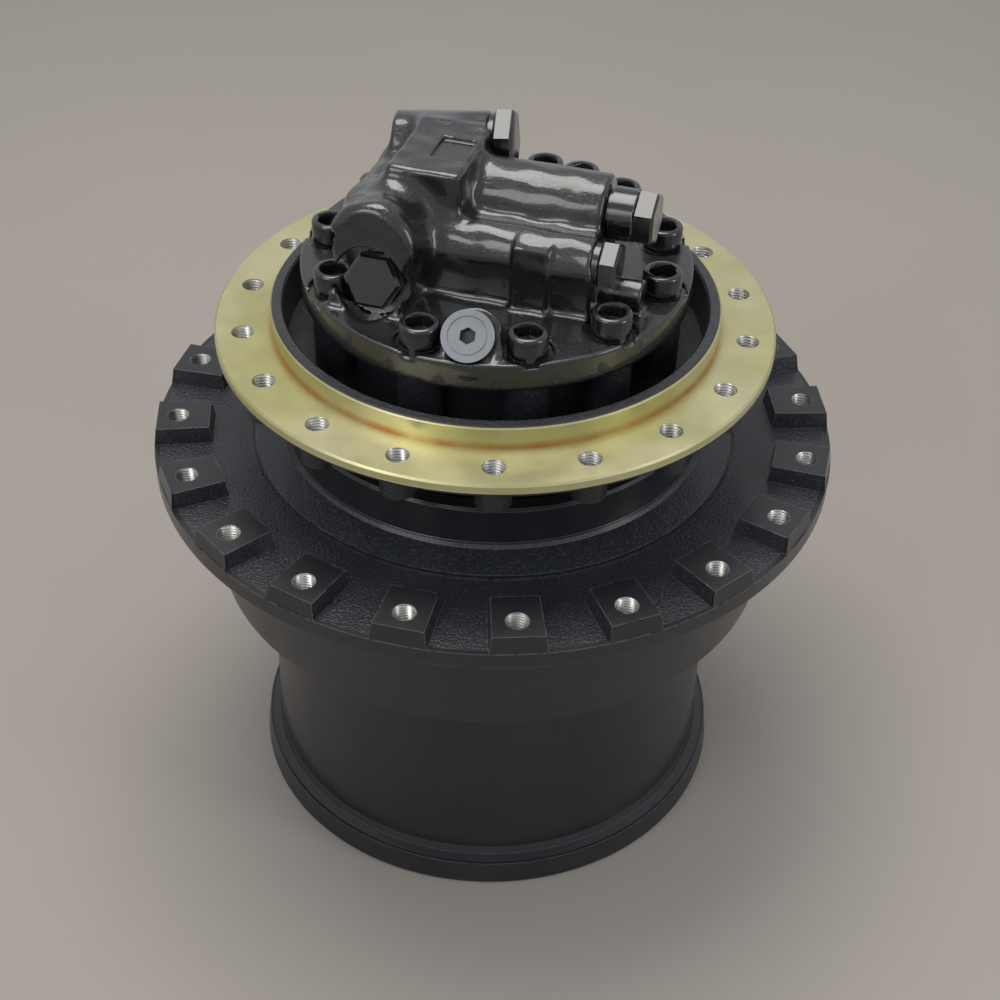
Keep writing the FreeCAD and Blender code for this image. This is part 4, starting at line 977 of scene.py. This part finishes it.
@dataclass
class CarriedNodes:
    """CAD nodes that keep their own shape and get a finish."""

    black: tuple[str, ...] = ("ring_gear", "end_cover", "hub_screws", "cover_plugs",
                              "bearing_nut")
    iron: tuple[str, ...] = ("input_carrier", "output_carrier")
    bronze: tuple[str, ...] = ("valve_plate", "thrust_button")

    def build(self, finishes: Finishes) -> None:
        """Dress every node that is still shown."""
        special = {"sprocket_hub": finishes.drum, "motor_housing": finishes.housing,
                   "disc_plug": finishes.plug}
        for name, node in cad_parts.items():
            finish = finishes.ground
            if name in special:
                finish = special[name]
            elif name in self.black:
                finish = finishes.satin
            elif name in self.iron:
                finish = finishes.iron
            elif name in self.bronze:
                finish = finishes.bronze
            node.data.materials.clear()
            node.data.materials.append(finish)
            node.data.shade_smooth()
            node.data.set_sharp_from_angle(angle=math.radians(28.0))


# ------------------------------------------------------------------ stage

@dataclass
class Stage:
    """Floor, lights and camera."""

    floor_colour: Colour = (0.36, 0.325, 0.29)
    camera_at: Point = (0.00698, -1.13794, 1.17941)
    camera_drop: float = 39.014
    camera_roll: float = 1.443
    lens: float = 61.41

    def build(self) -> None:
        """Make the stage."""
        self.build_floor()
        self.build_lights()
        self.build_camera()

    def build_floor(self) -> None:
        """Plain pale floor with a faint cloudiness."""
        size = 6.0
        mesh = bpy.data.meshes.new("floor")
        mesh.from_pydata([(-size, -size, 0), (size, -size, 0), (size, size, 0), (-size, size, 0)],
                         [], [(0, 1, 2, 3)])
        floor = bpy.data.objects.new("floor", mesh)
        bpy.context.scene.collection.objects.link(floor)
        material = bpy.data.materials.new("floor_plain")
        material.use_nodes = True
        tree = material.node_tree
        shader = tree.nodes["Principled BSDF"]
        noise = tree.nodes.new("ShaderNodeTexNoise")
        noise.inputs["Scale"].default_value = 2.4
        noise.inputs["Detail"].default_value = 5.0
        place = tree.nodes.new("ShaderNodeTexCoord")
        mix = tree.nodes.new("ShaderNodeMix")
        mix.data_type = "RGBA"
        mix.inputs[6].default_value = (*(0.95 * c for c in self.floor_colour), 1.0)
        mix.inputs[7].default_value = (*(1.05 * c for c in self.floor_colour), 1.0)
        tree.links.new(place.outputs["Object"], noise.inputs["Vector"])
        tree.links.new(noise.outputs["Fac"], mix.inputs[0])
        tree.links.new(mix.outputs[2], shader.inputs["Base Color"])
        shader.inputs["Roughness"].default_value = 0.85
        mesh.materials.append(material)

    def build_lights(self) -> None:
        """Soft overhead light, a front window and an even surround."""
        world = bpy.data.worlds.new("surround")
        bpy.context.scene.world = world
        world.use_nodes = True
        back = world.node_tree.nodes["Background"]
        back.inputs["Color"].default_value = (0.93, 0.96, 1.0, 1.0)
        back.inputs["Strength"].default_value = 0.55
        self.add_area("ceiling", (-0.25, 0.35, 2.6), (0.0, 0.0, 0.3), (1.6, 1.2), 34.0,
                      (1.0, 0.97, 0.93))
        self.add_area("window", (-1.5, -1.7, 1.9), (0.0, 0.0, 0.3), (1.3, 1.1), 16.0,
                      (0.95, 0.98, 1.0))
        self.add_area("strip", (1.9, -0.9, 1.0), (0.0, 0.0, 0.25), (0.5, 1.4), 9.0,
                      (0.95, 0.98, 1.0))

    def add_area(self, name: str, at: Point, target: Point, size: tuple[float, float],
                 power: float, colour: Colour) -> None:
        """Add a rectangular lamp that faces a point."""
        lamp = bpy.data.lights.new(name, "AREA")
        lamp.shape = "RECTANGLE"
        lamp.size, lamp.size_y = size
        lamp.energy = power
        lamp.color = colour
        made = bpy.data.objects.new(name, lamp)
        made.location = at
        made.rotation_euler = (Vector(target) - Vector(at)).to_track_quat("-Z", "Y").to_euler()
        bpy.context.scene.collection.objects.link(made)

    def build_camera(self) -> None:
        """Camera above the front, looking down at the drive."""
        data = bpy.data.cameras.new("camera")
        data.lens = self.lens
        data.sensor_width = 36.0
        data.clip_end = 20.0
        camera = bpy.data.objects.new("camera", data)
        tilt = Matrix.Rotation(math.radians(90.0 - self.camera_drop), 4, "X")
        roll = Matrix.Rotation(math.radians(self.camera_roll), 4, "Z")
        camera.matrix_world = Matrix.Translation(self.camera_at) @ tilt @ roll
        bpy.context.scene.collection.objects.link(camera)
        bpy.context.scene.camera = camera


def main() -> None:
    """Build every piece in order."""
    logging.basicConfig(level=logging.INFO, format="%(name)s %(message)s")
    bpy.context.scene.view_settings.view_transform = "Standard"
    Stage().build()
    finishes = Finishes()
    CarriedNodes().build(finishes)
    head = ValveHead()
    head.build(finishes)
    HeadScrews(head).build(finishes)
    PortPlugs().build(finishes)
    TappedHoles("frame_threads", Body.HOUSING, "steel", 198.3, 18, 10.6, 447.4, 26.0).build(finishes)
    TappedHoles("sprocket_threads", Body.HUB, "steel", 257.0, 20, 4.8, 355.5, 26.0).build(finishes)


if __name__ == "__main__":
    main()
